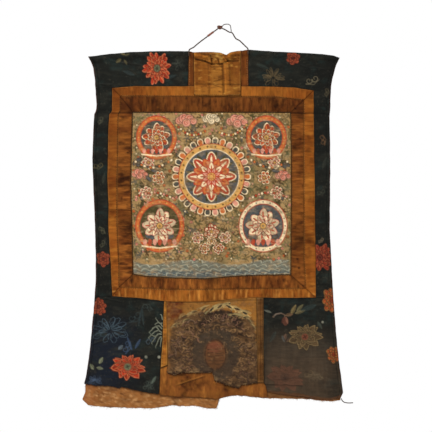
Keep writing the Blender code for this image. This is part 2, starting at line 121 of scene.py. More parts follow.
# Edges that run down the cloth, each point as (down, across)
SIDE_LEFT = (
    (15.6, -301.2), (28.8, -293.8), (43.2, -288.2), (72, -284.6), (129.6, -280.9), (144, -281.5),
    (154, -286), (172.8, -287.5), (259.2, -290.9), (331.2, -289), (388.8, -286.1), (432, -284.6),
    (504, -282.9), (561.6, -283.4), (619.2, -287.8), (662.4, -291.6), (720, -296.9), (777.6, -304.8),
    (800, -310.3),
)
SIDE_RIGHT = (
    (18.6, 302.6), (28.8, 297.8), (43.2, 292.1), (72, 284.6), (86.4, 282.2), (115.2, 280.8),
    (144, 280.1), (158.4, 278.4), (259.2, 280.6), (331.2, 279.9), (432, 280.1), (532.8, 284.4),
    (619.2, 289), (691.2, 295), (748.8, 301), (806.4, 308.2), (820.8, 309.6), (832.6, 304.6),
)
TOP_SEAM_LEFT = ((2.8, -59), (86.4, -61))
TOP_STRIP_LEFT = ((5.4, -47.5), (109.4, -46.8))
TOP_STRIP_RIGHT = ((1.2, 66), (109.4, 65.4))
TOP_SEAM_RIGHT = ((-0.8, 83.4), (86.9, 84))
BORDER_LEFT = (
    (90.7, -243.6), (146, -243.6), (154, -250.2), (192, -252.7), (312, -255.1), (372, -252.5),
    (420, -253.2), (508.8, -247.9), (591.5, -243.6),
)
BORDER_RIGHT = ((97.2, 240.7), (177.6, 241.2), (336, 243.6), (508.8, 245.8), (594.2, 246))
INNER_LEFT = (
    (110.4, -223.7), (146, -223.7), (154, -228.4), (312, -231.6), (420, -231.6), (508.8, -227.9),
    (569.5, -226.5),
)
INNER_RIGHT = ((120, 216.7), (312, 217.2), (508.8, 217.9), (572.4, 221))
PAINTING_LEFT = ((148.8, -194.4), (177.6, -195.8), (312, -199.4), (396, -196.8), (538.8, -193.7))
PAINTING_RIGHT = ((149.3, 186), (240, 187.4), (360, 187.4), (540.2, 186.2))
LOWER_SEAM_LEFT = ((602.6, -118.8), (698.4, -122.4), (763.2, -127.2), (828, -130))
LOWER_SEAM_RIGHT = ((594.6, 120.4), (799, 120.6), (808, 126.6), (820.6, 128.4), (834, 129))
DOOR_LEFT = ((603, -113), (755, -109.4), (772.6, -112.6))
DOOR_RIGHT = ((594.4, 103.2), (798.5, 105.6))
LINING_LEFT = (
    (36, -289), (74, -282.4), (122, -279), (150, -281.8), (182, -285.8), (259, -288.8),
    (440, -282.6), (562, -281.4), (662, -289.5), (786, -303), (802.8, -307.4), (820.8, -307.4),
    (838, -314.6), (848, -304.3), (852.2, -300.5),
)
LINING_RIGHT = (
    (36, 293), (74, 282), (150, 277.2), (440, 278), (610, 286.4), (714, 295.4),
    (765, 301), (786, 303.4), (806.4, 305), (820.8, 306.6), (838.8, 303.4),
)

# The cord's route from the hem, over the casing and up to its wrap, each point as (x, y, z)
ROUTE_LEFT = (
    (-90.3, -8, -76), (-90.3, -9, -71.5), (-90.2, -8.4, -67), (-89.9, -6, -63),
    (-89.2, -2.8, -60.8), (-87.2, -0.6, -58.7), (-81.6, 0, -55.7), (-78.2, 0, -53.8),
    (-71.5, 0, -47.8), (-61.2, 0, -39.6), (-49.7, 0, -31.2), (-45.4, 0, -27.7),
)
ROUTE_WRAP = ((-45, 0, -27.3), (-38.2, 0, -22.2), (-31.8, 0, -17.6))
ROUTE_MIDDLE = ((-31.4, 0, -17.3), (-27.6, 0, -14.7), (-24.8, 0, -12.7), (-22.2, 0, -10.8))
ROUTE_RIGHT = (
    (-9.4, 0, -9.6), (-5.6, 0, -11.1), (-1.9, 0, -13.2), (4.1, 0, -16.8), (7.9, 0, -18.6),
    (11.5, 0, -18.4), (15.6, 0, -22.8), (18.7, 0, -28.6), (23.3, 0, -34.3), (31, 0, -38.4),
    (38.6, 0, -45.4), (45.1, 0, -51.7), (48.4, -0.4, -55), (50.3, -2.8, -57.2), (51, -6, -59.4),
    (51.3, -8.4, -63.4), (51.4, -9, -67.9), (51.3, -8, -72.5),
)
ROUTE_EYE = (
    (-9.6, 0, -3.2), (-7.9, 0, -1.2), (-5.5, 0, 0.3), (-0.2, 0, 1.1), (5.3, 0, 0.5),
    (9.1, 0, -3.1), (10.3, 0, -9.4), (11.2, 0, -16.1),
)
ROUTE_TAIL = (
    (274.5, 0, -896.2), (276.6, 0, -901.2), (281, 0, -904.8), (288, 0, -906.6),
    (295, 0, -906.9), (302.4, 0, -906.4),
)
TAIL_AT = (303.4, 836)

# Creases painted into the brocade as lines of shade with a highlight beside them, each as (one end, the other
# end, strength)
BROCADE_CREASES = (
    ((-286, 706), (-222, 684), 0.5), ((-222, 684), (-196, 662), 0.35),
    ((-270, 598), (-226, 606), 0.4), ((-160, 736), (-128, 724), 0.3),
    ((130, 632), (150, 640), 0.4), ((140, 792), (220, 786), 0.3),
    ((-286, 86), (-250, 84), 0.4), ((-240, 30), (-180, 36), 0.3),
    ((98, 60), (128, 52), 0.3), ((214, 40), (262, 48), 0.3),
)

# Dark spots and the small hole in the brown silk, each as (across, down, radius)
SPOTS = ((201.6, 501.6, 3), (205.2, 523.2, 3.4), (196.6, 140.6, 2.6), (-206, 246, 2.4), (209, 214, 2.2))


class Fibre(Enum):
    """The cloths and yarns that the pieces are made of, by the record's slot names."""

    BROCADE = "brocade"
    ORANGE_SILK = "orange_silk"
    GOLD_SILK = "gold_silk"
    BROWN_SILK = "brown_silk"
    DOOR_BROCADE = "door_brocade"
    PAINTED_CLOTH = "painted_cloth"
    LINING_COTTON = "lining_cotton"
    CORD = "cord"
    BINDING = "cord_binding"


class Ribs(Enum):
    """Which way a ribbed silk's ribs run."""

    UPRIGHT = "upright"
    LEVEL = "level"


def smooth(value: Array | float, start: float, full: float) -> Array | float:
    """Gives 0 before start, 1 after full, and a smooth step between.

    Args:
        value: What is measured.
        start: Where the step begins.
        full: Where it ends.

    Returns:
        The step's height, from 0 to 1.
    """
    share = np.clip((value - start) / (full - start), 0, 1)
    return share * share * (3 - 2 * share)


def fall(value: Array | float, start: float, full: float) -> Array | float:
    """Gives 1 before start, 0 after full, and a smooth step between."""
    return 1 - smooth(value, start, full)


def scaled(colour: Sequence[float], share: float) -> tuple[float, ...]:
    """Makes a colour darker or lighter."""
    return tuple(share * c for c in colour)


def linear(colour: Sequence[float]) -> Array:
    """Turns a colour from 0 to 255 as a screen shows it into the renderer's linear one.

    Args:
        colour: Red, green and blue.

    Returns:
        The linear colour.
    """
    share = np.asarray(colour, float) / 255
    return np.where(share <= 0.04045, share / 12.92, ((share + 0.055) / 1.055) ** 2.4)


def noise(across: Array, down: Array, scale: float, seed: int, octaves: int = 3) -> Array:
    """Gives soft uneven patches that are the same in every run.

    Args:
        across: Where, in millimetres.
        down: Where, in millimetres.
        scale: The size of the largest patches.
        seed: Picks the pattern.
        octaves: How many finer layers are added.

    Returns:
        Values from 0 to 1, about 0.5 on average.
    """
    rng = np.random.default_rng(seed)
    total, share, weights = 0, 1, 0
    for _ in range(octaves):
        lattice = rng.random((64, 64))
        u, v = across / scale + 23.7, down / scale + 11.3
        i, j = np.floor(u).astype(int), np.floor(v).astype(int)
        f, g = smooth(u - i, 0, 1), smooth(v - j, 0, 1)
        i0, j0, i1, j1 = i % 64, j % 64, (i + 1) % 64, (j + 1) % 64
        upper = lattice[i0, j0] * (1 - f) + lattice[i1, j0] * f
        lower = lattice[i0, j1] * (1 - f) + lattice[i1, j1] * f
        total = total + share * (upper * (1 - g) + lower * g)
        weights += share
        share, scale = share * 0.55, scale * 0.5
    return total / weights


def crease(across: Array, down: Array, start: Sequence[float], end: Sequence[float],
           half_width: float, height: float, fade: float = 16) -> Array:
    """Gives a soft ridge or trough along the line between two places, fading at its ends.

    Args:
        across: Where, in millimetres.
        down: Where, in millimetres.
        start: One end of the crease.
        end: The other end.
        half_width: How far it spreads to each side.
        height: How far it stands to the front, or back when negative.
        fade: How far it runs out past its ends.

    Returns:
        The height at each place, in millimetres.
    """
    along = np.subtract(end, start).astype(float)
    length = np.hypot(*along)
    along /= length
    run = (across - start[0]) * along[0] + (down - start[1]) * along[1]
    off = np.abs((across - start[0]) * along[1] - (down - start[1]) * along[0])
    ends = smooth(run, -fade, 0) * fall(run, length, length + fade)
    return height * ends * fall(off, 0, half_width)


@dataclass(frozen=True)
class Drape:
    """How the whole mount hangs: broad waves, curled corners and the main creases."""

    waves: tuple = ((3.6, 430, 8, 0.12), (2.2, 260, -24, 0.4), (1.6, 340, 78, 0.15))
    curls: tuple = (
        (-315, 862, 150, 9), (312, 845, 160, 9), (-292, 330, 95, -5), (284, 420, 105, -6),
        (5, 860, 80, 5),
    )
    creases: tuple = (
        (-300, 150, 295, 151, 11, -2.2), (-262, 382, -190, 385, 10, 1.6), (188, 528, 262, 526, 10, 1.6),
        (128, 801, 200, 804, 10, 2.4), (-306, 716, -200, 706, 12, 1.2), (114, 566, 115, 768, 13, 3.6),
        (-10, 36, -9, 70, 9, 1.5), (22, 40, 22, 70, 9, -1.2), (37, 34, 38, 70, 9, 1.8),
        (-118, 620, -122, 730, 10, 1.5),
    )
    hang_start: float = 24
    hang_full: float = 420
    # Lines of painted shade along the folds and under lapped edges: (across and down of one end, of the
    # other, half width, strength)
    fold_shading: tuple = (
        (-284, 151, -192, 150, 1.8, 0.45), (192, 151, 282, 152, 1.8, 0.55), (-262, 381, -196, 386, 2.2, 0.4),
        (186, 529, 246, 526, 2.2, 0.4), (112, 600, 113, 790, 2, 0.5), (106.5, 640, 107, 790, 1.4, 0.4),
        (124, 803, 212, 806, 2, 0.7), (-280, 640, -150, 646, 3, 0.15), (150, 740, 290, 735, 3, 0.15),
        (196, 700, 236, 612, 3, 0.12), (-186, 596, -122, 604, 3, 0.3), (-81, 803, -42, 790, 2.2, 0.4),
        (-104, 786, -60, 776, 2.6, 0.4), (2, 800, 60, 812, 2.6, 0.35), (-242, 596, -120, 604, 2.4, 0.4),
        (-110, 606, 104, 600, 3.2, 0.45), (122, 597, 244, 597, 2.2, 0.4), (-46, 112, 66, 112, 2.4, 0.55),
    )

    def back(self, across: Array, down: Array, ridges: bool = True) -> Array:
        """Tells how far behind its flat plane the cloth lies.

        Args:
            across: Where, in millimetres.
            down: Where, in millimetres.
            ridges: Whether creases that stand to the front count.

        Returns:
            The depth at each place, in millimetres.
        """
        forward = 0
        for height, length, degrees, start in self.waves:
            turn = np.radians(degrees)
            along = across * np.cos(turn) + down * np.sin(turn)
            forward = forward + height * np.sin(2 * np.pi * (along / length + start))
        for a, d, reach, height in self.curls:
            forward = forward + height * fall(np.hypot(across - a, down - d), 0, reach)
        forward = forward * smooth(down, self.hang_start, self.hang_full)
        for a0, d0, a1, d1, half_width, height in self.creases:
            if ridges or height < 0:
                forward = forward + crease(across, down, (a0, d0), (a1, d1), half_width, height)
        return -forward

    def fold_shade(self, across: Array, down: Array) -> Array:
        """Tells how dark the painted shade along the folds is.

        Args:
            across: Where, in millimetres.
            down: Where, in millimetres.

        Returns:
            The darkening at each place, from 0 up.
        """
        total = np.zeros_like(across)
        for a0, d0, a1, d1, half_width, strength in self.fold_shading:
            bent = down + 3 * (noise(across, down, 20, 91, 2) - 0.5)
            total += crease(across, bent, (a0, d0), (a1, d1), half_width, strength, 6)
        return total


def wander(edge: Edge, value: Array) -> Array:
    """Gives an edge its small unevenness, the same for both cloths that meet on it.

    Args:
        edge: The edge's table.
        value: Where on it.

    Returns:
        How far the edge strays, in millimetres.
    """
    torn = edge in (LINING_END, DOOR_END, FOOT_END, BROCADE_END_LEFT, BROCADE_END_RIGHT)
    amount, scale = (3.4, 7) if torn else (1.5, 16)
    seed = int(abs(edge[0][0]) * 7 + abs(edge[-1][1]))
    return amount * (noise(np.asarray(value), np.zeros_like(value), scale, seed, 3) - 0.5)


def at(edge: Edge, value: Array | float) -> Array:
    """Looks up the second column of an edge's table where its first column is value.

    Args:
        edge: The edge's table.
        value: Where to look.

    Returns:
        The second column there.
    """
    table = np.array(edge)
    return np.interp(value, table[:, 0], table[:, 1])


def corner(across_edge: Edge, down_edge: Edge) -> Array:
    """Finds where an edge that runs across meets one that runs down.

    Args:
        across_edge: The edge that runs across.
        down_edge: The edge that runs down.

    Returns:
        The place, as across and down.
    """
    down = across_edge[0][1]
    for _ in range(12):
        across = at(down_edge, down)
        down = at(across_edge, across)
    return np.array([across, down])


@dataclass
class Cut:
    """One piece of cloth, cut between four edges, and how finely it is meshed.

    A side without an edge is a straight mitre between its corners.
    """

    name: str
    top: Edge | None
    right: Edge | None
    bottom: Edge | None
    left: Edge | None
    corners: tuple | None = None
    cell: float = 2.4
    back_every: int = 4
    thickness: float = SILK
    behind: float = 0
    lap: float | None = None
    casing: bool = False
    torn: tuple = ()
    roll: float = 0.8
    roll_run: float = 3.2
    gather: float = 1

    def __post_init__(self) -> None:
        """Finds the corners where the edges meet."""
        if self.corners is None:
            self.corners = (
                corner(self.top, self.left), corner(self.top, self.right),
                corner(self.bottom, self.right), corner(self.bottom, self.left),
            )

    def size(self) -> tuple[float, float]:
        """Gives the mean width and length, in millimetres.

        Returns:
            The width and the length.
        """
        top_left, top_right, bottom_right, bottom_left = self.corners
        width = (np.linalg.norm(top_right - top_left) + np.linalg.norm(bottom_right - bottom_left)) / 2
        length = (np.linalg.norm(bottom_left - top_left) + np.linalg.norm(bottom_right - top_right)) / 2
        return float(width), float(length)

    def side(self, edge: Edge | None, start: Array, end: Array, shares: Array,
             runs_down: bool) -> Array:
        """Gives points along one side.

        Args:
            edge: The side's table, or None for a mitre.
            start: Its first corner.
            end: Its last corner.
            shares: Where the points lie, from 0 to 1.
            runs_down: Whether the side runs down the cloth.

        Returns:
            The points, as across and down.
        """
        points = start + (end - start) * shares[:, None]
        calm = smooth(np.minimum(shares, 1 - shares), 0, 0.02)
        if edge is not None and runs_down:
            points[:, 0] = at(edge, points[:, 1]) + calm * wander(edge, points[:, 1])
        elif edge is not None:
            points[:, 1] = at(edge, points[:, 0]) + calm * wander(edge, points[:, 0])
        return points

    def grid(self) -> tuple[Array, Array, Array]:
        """Spreads mesh points between the four edges.

        Returns:
            The points as rows of (across, down), and the shares of the rows and of the columns.
        """
        width, length = self.size()
        step = self.back_every
        rows = np.linspace(0, 1, step * math.ceil(length / self.cell / step) + 1) ** self.gather
        columns = np.linspace(0, 1, step * math.ceil(width / self.cell / step) + 1)
        top_left, top_right, bottom_right, bottom_left = self.corners
        upper = self.side(self.top, top_left, top_right, columns, False)[None]
        lower = self.side(self.bottom, bottom_left, bottom_right, columns, False)[None]
        first = self.side(self.left, top_left, bottom_left, rows, True)[:, None]
        last = self.side(self.right, top_right, bottom_right, rows, True)[:, None]
        t, s = rows[:, None, None], columns[None, :, None]
        flat = (1 - t) * ((1 - s) * top_left + s * top_right) + t * ((1 - s) * bottom_left + s * bottom_right)
        return (1 - t) * upper + t * lower + (1 - s) * first + s * last - flat, rows, columns

    def from_edge(self, rows: Array, columns: Array, torn: bool = True) -> Array:
        """Measures how far each mesh point is from the nearest side.

        Args:
            rows: The rows' shares.
            columns: The columns' shares.
            torn: Whether torn sides count.

        Returns:
            The distances, in millimetres.
        """
        width, length = self.size()
        t, s = rows[:, None], columns[None, :]
        sides = {"top": t * length, "bottom": (1 - t) * length, "left": s * width, "right": (1 - s) * width}
        far = np.full((len(rows), len(columns)), 1e3)
        for side, distance in sides.items():
            if torn or side not in self.torn:
                far = np.minimum(far, distance)
        return far


class Motif:
    """A small drawing board round one place on a cloth, with x to the right and y up."""

    def __init__(self, dye: "Dye", across: float, down: float, reach: float, turn: float = 0,
                 squash: float = 1, fade: float = 1) -> None:
        """Picks out the mesh points near the place.

        Args:
            dye: The cloth's colours.
            across: The motif's centre.
            down: The motif's centre.
            reach: How far the motif goes to each side.
            turn: How far it is turned, in degrees.
            squash: Its height as a share of its width.
            fade: How strongly its colours show.
        """
        self.dye, self.fade = dye, fade
        self.index = np.nonzero((np.abs(dye.across - across) < reach) & (np.abs(dye.down - down) < reach))[0]
        x = dye.across[self.index] - across
        y = (down - dye.down[self.index]) / squash
        angle = math.radians(turn)
        self.x = x * math.cos(angle) + y * math.sin(angle)
        self.y = y * math.cos(angle) - x * math.sin(angle)

    def lay(self, amount: Array, colour: Colour) -> None:
        """Lays a colour over what is there, as strongly as amount says."""
        share = (amount * self.fade)[:, None]
        self.dye.colour[self.index] += (linear(colour) - self.dye.colour[self.index]) * share

    def disc(self, x: float, y: float, radius: float, colour: Colour, tall: float = 1,
             soft: float = 1.4) -> None:
        """Lays a round or oval spot."""
        far = np.hypot(self.x - x, (self.y - y) / tall)
        self.lay(fall(far, radius - soft / 2, radius + soft / 2), colour)

    def ring(self, x: float, y: float, radius: float, width: float, colour: Colour, tall: float = 1,
             soft: float = 1.2) -> None:
        """Lays a ring of an even width."""
        far = np.abs(np.hypot(self.x - x, (self.y - y) / tall) - radius)
        self.lay(fall(far, (width - soft) / 2, (width + soft) / 2), colour)

    def petal(self, x: float, y: float, turn: float, length: float, width: float, colour: Colour,
              blunt: float = 0.5, soft: float = 1.2) -> None:
        """Lays a petal or leaf from its base outward.

        Args:
            x: The base.
            y: The base.
            turn: Its direction, in degrees from the right.
            length: How long it is.
            width: How wide it is at its widest.
            colour: Its colour.
            blunt: How soon it narrows at the tip: 0.3 is round and 1 is pointed.
            soft: How wide its blurred rim is.
        """
        angle = math.radians(turn)
        run = ((self.x - x) * math.cos(angle) + (self.y - y) * math.sin(angle)) / length
        off = np.abs((self.y - y) * math.cos(angle) - (self.x - x) * math.sin(angle))
        share = np.clip(run, 0, 1)
        rise = 0.6
        peak = rise / (rise + blunt)
        half = width / 2 * (share / peak) ** rise * ((1 - share) / (1 - peak)) ** blunt
        self.lay(smooth(half - off, -soft / 2, soft / 2) * (run > 0) * (run < 1), colour)

    def stroke(self, points: Sequence[Sequence[float]], width: float, colour: Colour,
               soft: float = 1.2, taper: bool = True) -> None:
        """Lays a brush stroke along a line of points.

        Args:
            points: The line, as (x, y).
            width: How wide the stroke is.
            colour: Its colour.
            soft: How wide its blurred rim is.
            taper: Whether it thins towards its end.
        """
        path = np.array(points, float)
        nearest = np.full(len(self.x), 1e3)
        for k, (start, end) in enumerate(zip(path, path[1:])):
            span = end - start
            share = ((self.x - start[0]) * span[0] + (self.y - start[1]) * span[1]) / max(span @ span, 1e-9)
            share = np.clip(share, 0, 1)
            far = np.hypot(self.x - start[0] - share * span[0], self.y - start[1] - share * span[1])
            along = (k + share) / (len(path) - 1)
            thin = width / 2 * (1 - 0.7 * along if taper else 1)
            nearest = np.minimum(nearest, far - thin)
        self.lay(fall(nearest, -soft / 2, soft / 2), colour)

    def spiral(self, x: float, y: float, radius: float, turns: float, start: float, width: float,
               colour: Colour) -> None:
        """Lays a curl that winds inward from start, in degrees, and the other way if turns is negative.

        Args:
            x: Its centre.
            y: Its centre.
            radius: How far out it starts.
            turns: How many times it winds round, or less than 0 for the other way.
            start: The direction of its outer end, in degrees.
            width: How wide its line is.
            colour: Its colour.
        """
        share = np.linspace(0, 1, 18)
        angle = np.radians(start) + 2 * np.pi * turns * share
        out = radius * (1 - 0.85 * share)
        self.stroke(np.stack([x + out * np.cos(angle), y + out * np.sin(angle)], axis=1), width, colour)

    def flower(self, radius: float, petals: int, fill: Colour, rim: Colour, tip: Colour, heart: Colour,
               rings: Sequence[float] = (1, 0.74, 0.48), pointed: float = 0.55, wide: float = 1,
               heart_share: float = 0.17, line: Colour = (58, 30, 22), dusk: Colour | None = None) -> None:
        """Lays a full flower of layered petals.

        Args:
            radius: How far the outer petals reach.
            petals: How many petals each layer has.
            fill: The petals' colour.
            rim: The colour along their edges.
            tip: The colour of the line down each petal.
            heart: The colour of the centre.
            rings: Each layer's reach, as a share of the radius.
            pointed: How pointed the petals are.
            wide: How wide the petals are.
            heart_share: The centre's size, as a share of the radius.
            line: The thin dark line round each petal.
            dusk: Every other petal's colour, a little darker than fill unless it is given.
        """
        dusk = dusk or scaled(fill, 0.86)
        if not self.index.size:
            return
        for layer, share in enumerate(rings):
            reach = radius * share
            width = 2 * math.pi * reach / petals * 0.72 * wide
            for k in range(petals):
                turn = 360 / petals * (k + 0.5 * (layer % 2)) + 7 * math.sin(2.3 * k + layer)
                grown = reach * (1 + 0.07 * math.sin(3.7 * k + 1.3 * layer))
                self.petal(0, 0, turn, grown + 1, width + 2, line, pointed)
                self.petal(0, 0, turn, grown, width, rim, pointed)
                self.petal(0, 0, turn - 2, grown - 1.8, width - 1.8, fill if k % 2 else dusk, pointed)
                angle = math.radians(turn)
                self.petal(0.42 * grown * math.cos(angle), 0.42 * grown * math.sin(angle), turn + 6,
                           0.42 * grown, 0.2 * width, tip, pointed)
        self.disc(0, 0, radius * heart_share + 1.4, line)
        self.disc(0, 0, radius * heart_share, heart)
        self.disc(0, 0, radius * heart_share * 0.45, scaled(heart, 0.7))


class Dye:
    """The colours at a cloth's mesh points."""

    def __init__(self, across: Array, down: Array, ground: Colour) -> None:
        """Starts with one colour all over.

        Args:
            across: Where the mesh points are, in millimetres.
            down: Where the mesh points are, in millimetres.
            ground: The colour.
        """
        self.across, self.down = across.ravel(), down.ravel()
        self.colour = np.tile(linear(ground), (self.across.size, 1))

    def wash(self, amount: Array | float, colour: Colour) -> None:
        """Tints every point towards a colour, as strongly as amount says."""
        share = np.clip(amount, 0, 1).ravel()[:, None]
        self.colour += (linear(colour) - self.colour) * share

    def shade(self, factor: Array) -> None:
        """Makes every point lighter or darker."""
        self.colour *= factor.ravel()[:, None]

    def mottle(self, colour: Colour, strength: float, level: float, scale: float, seed: int, octaves: int = 3,
               wide: float = 1, tall: float = 1) -> None:
        """Tints uneven patches.

        Args:
            colour: The tint.
            strength: How soon it is full.
            level: How little of the cloth it covers, about 0.5 for half.
            scale: The size of the largest patches.
            seed: Picks the pattern.
            octaves: How many finer layers are added.
            wide: How much narrower the patches are across.
            tall: How much shorter they are down the cloth.
        """
        self.wash(strength * (noise(self.across * wide, self.down * tall, scale, seed, octaves) - level),
                  colour)

    def grain(self, least: float, more: float, scale: float, seed: int, octaves: int = 3, wide: float = 1,
              tall: float = 1) -> None:
        """Makes patches lighter and darker, from least up to least and more."""
        self.shade(least + more * noise(self.across * wide, self.down * tall, scale, seed, octaves))

    def motif(self, across: float, down: float, reach: float, turn: float = 0, squash: float = 1,
              fade: float = 1) -> Motif:
        """Gives a drawing board round a place."""
        return Motif(self, across, down, reach, turn, squash, fade)


@dataclass(frozen=True)
class Trim:
    """One line of stitches or loose threads on a cloth."""

    name: str
    line: tuple
    colour: Colour
    frayed: bool = False
    spacing: float = 5
    length: float = 3.2
    thick: float = 0.7
    stray: float = 0.12
    seed: int = 1
    behind: bool = False


class ThreadWork:
    """Spreads stitches and frayed ends along lines by Geometry Nodes."""

    def __init__(self) -> None:
        """Builds the tree."""
        self.tree = self.build_tree()

    @staticmethod
    def build_tree() -> bpy.types.NodeTree:
        """Builds the tree that sets a short bowed thread at even steps along a line.

        Returns:
            The tree.
        """
        tree = bpy.data.node_groups.new("Threads along a line", "GeometryNodeTree")
        tree.interface.new_socket("Geometry", in_out="INPUT", socket_type="NodeSocketGeometry")
        for label, value in (("Spacing", 0.005), ("Length", 0.003), ("Thickness", 0.0007), ("Follow", 1.0),
                             ("Stray", 0.1), ("Bow", 0.0), ("Least", 0.8), ("Most", 1.1)):
            socket = tree.interface.new_socket(label, in_out="INPUT", socket_type="NodeSocketFloat")
            socket.default_value = value
        tree.interface.new_socket("Seed", in_out="INPUT", socket_type="NodeSocketInt")
        tree.interface.new_socket("Material", in_out="INPUT", socket_type="NodeSocketMaterial")
        tree.interface.new_socket("Geometry", in_out="OUTPUT", socket_type="NodeSocketGeometry")
        new = tree.nodes.new
        inside, out = new("NodeGroupInput"), new("NodeGroupOutput")
        curve, points = new("GeometryNodeMeshToCurve"), new("GeometryNodeCurveToPoints")
        points.mode = "LENGTH"
        half, less = new("ShaderNodeMath"), new("ShaderNodeMath")
        half.operation = less.operation = "MULTIPLY"
        half.inputs[1].default_value, less.inputs[1].default_value = 0.5, -0.5
        low, mid, high = (new("ShaderNodeCombineXYZ") for _ in range(3))
        thread = new("GeometryNodeCurveQuadraticBezier")
        thread.inputs["Resolution"].default_value = 4
        radius, ring = new("ShaderNodeMath"), new("GeometryNodeCurvePrimitiveCircle")
        radius.operation = "MULTIPLY"
        radius.inputs[1].default_value = 0.5
        ring.inputs["Resolution"].default_value = 5
        solid = new("GeometryNodeCurveToMesh")
        solid.inputs["Fill Caps"].default_value = True
        turn = new("GeometryNodeSwitch")
        turn.input_type = "ROTATION"
        size = new("FunctionNodeRandomValue")
        place = new("GeometryNodeInstanceOnPoints")
        stray = new("FunctionNodeRandomValue")
        stray.data_type = "FLOAT_VECTOR"
        most, least = new("ShaderNodeVectorMath"), new("ShaderNodeVectorMath")
        most.operation = least.operation = "SCALE"
        most.inputs[0].default_value, least.inputs[0].default_value = (0.35, 1, 0.35), (-0.35, -1, -0.35)
        swing = new("GeometryNodeRotateInstances")
        real, soft, dress = (
            new(f"GeometryNode{kind}") for kind in ("RealizeInstances", "SetShadeSmooth", "SetMaterial")
        )
        for source, output, goal, socket in (
            (inside, "Geometry", curve, 0), (curve, 0, points, "Curve"),
            (inside, "Spacing", points, "Length"),
            (inside, "Length", half, 0), (inside, "Length", less, 0), (less, 0, low, "Z"),
            (half, 0, high, "Z"),
            (inside, "Bow", mid, "X"), (low, 0, thread, "Start"), (mid, 0, thread, "Middle"),
            (high, 0, thread, "End"), (inside, "Thickness", radius, 0), (radius, 0, ring, "Radius"),
            (thread, 0, solid, "Curve"), (ring, 0, solid, "Profile Curve"), (inside, "Follow", turn, 0),
            (points, "Rotation", turn, 2), (inside, "Least", size, 2), (inside, "Most", size, 3),
            (inside, "Seed", size, "Seed"), (points, "Points", place, "Points"),
            (solid, 0, place, "Instance"),
            (turn, 0, place, "Rotation"), (size, 1, place, "Scale"), (inside, "Stray", most, "Scale"),
            (inside, "Stray", least, "Scale"), (least, 0, stray, 0), (most, 0, stray, 1),
            (inside, "Seed", stray, "Seed"), (place, 0, swing, "Instances"), (stray, 0, swing, "Rotation"),
            (swing, 0, real, 0), (real, 0, soft, 0), (soft, 0, dress, "Geometry"),
            (inside, "Material", dress, "Material"), (dress, 0, out, 0),
        ):
            tree.links.new(source.outputs[output], goal.inputs[socket])
        return tree

    def sew(self, trim: Trim, points: Array, material: bpy.types.Material, slot: str) -> bpy.types.Object:
        """Makes one line of threads as a plain mesh.

        Args:
            trim: What the threads are like.
            points: The line, in millimetres.
            material: Their material.
            slot: Not used.

        Returns:
            The piece.
        """
        line = bpy.data.meshes.new(trim.name)
        line.from_pydata((points * MM).tolist(), [(k, k + 1) for k in range(len(points) - 1)], [])
        holder = bpy.data.objects.new(trim.name, line)
        bpy.context.scene.collection.objects.link(holder)
        modifier = holder.modifiers.new("threads", "NODES")
        modifier.node_group = self.tree
        values = {
            "Spacing": trim.spacing * MM, "Length": trim.length * MM, "Thickness": trim.thick * MM,
            "Follow": 0.0 if trim.frayed else 1.0, "Stray": trim.stray, "Seed": trim.seed,
            "Bow": 0.22 * trim.length * MM if trim.frayed else 0.0, "Least": 0.35 if trim.frayed else 0.85,
            "Most": 1.3 if trim.frayed else 1.1, "Material": material,
        }
        for item in self.tree.interface.items_tree:
            if item.item_type == "SOCKET" and item.in_out == "INPUT" and item.name in values:
                modifier[item.identifier] = values[item.name]
        graph = bpy.context.evaluated_depsgraph_get()
        mesh = bpy.data.meshes.new_from_object(holder.evaluated_get(graph))
        bpy.data.objects.remove(holder)
        mesh.name = trim.name
        places = np.empty(len(mesh.vertices) * 3)
        mesh.vertices.foreach_get("co", places)
        places = places.reshape(-1, 3) / MM
        tint = 0.7 + 0.6 * noise(places[:, 0], places[:, 2], 3, 95 + trim.seed, 2)
        layer = mesh.attributes.new("dye", "FLOAT_COLOR", "POINT")
        layer.data.foreach_set("color", np.column_stack([linear(trim.colour) * tint[:, None],
                                                         np.ones(len(tint))]).ravel())
        piece = bpy.data.objects.new(trim.name, mesh)
        bpy.context.scene.collection.objects.link(piece)
        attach(piece, "root")
        LOG.info("%s: %d faces", trim.name, len(mesh.polygons))
        return piece


def along(edge: Edge, start: float, end: float, runs_down: bool = False, inset: float = 0,
          step: float = 4) -> tuple:
    """Gives a line of places along an edge.

    Args:
        edge: The edge's table.
        start: Where it starts, by the table's first column.
        end: Where it ends.
        runs_down: Whether the edge runs down the cloth.
        inset: How far the line is moved along the table's second column.
        step: How far apart the places are.

    Returns:
        The places, as (across, down).
    """
    run = np.linspace(start, end, max(3, int(abs(end - start) / step)))
    beside = at(edge, run) + wander(edge, run) + inset
    return tuple(zip(beside, run)) if runs_down else tuple(zip(run, beside))


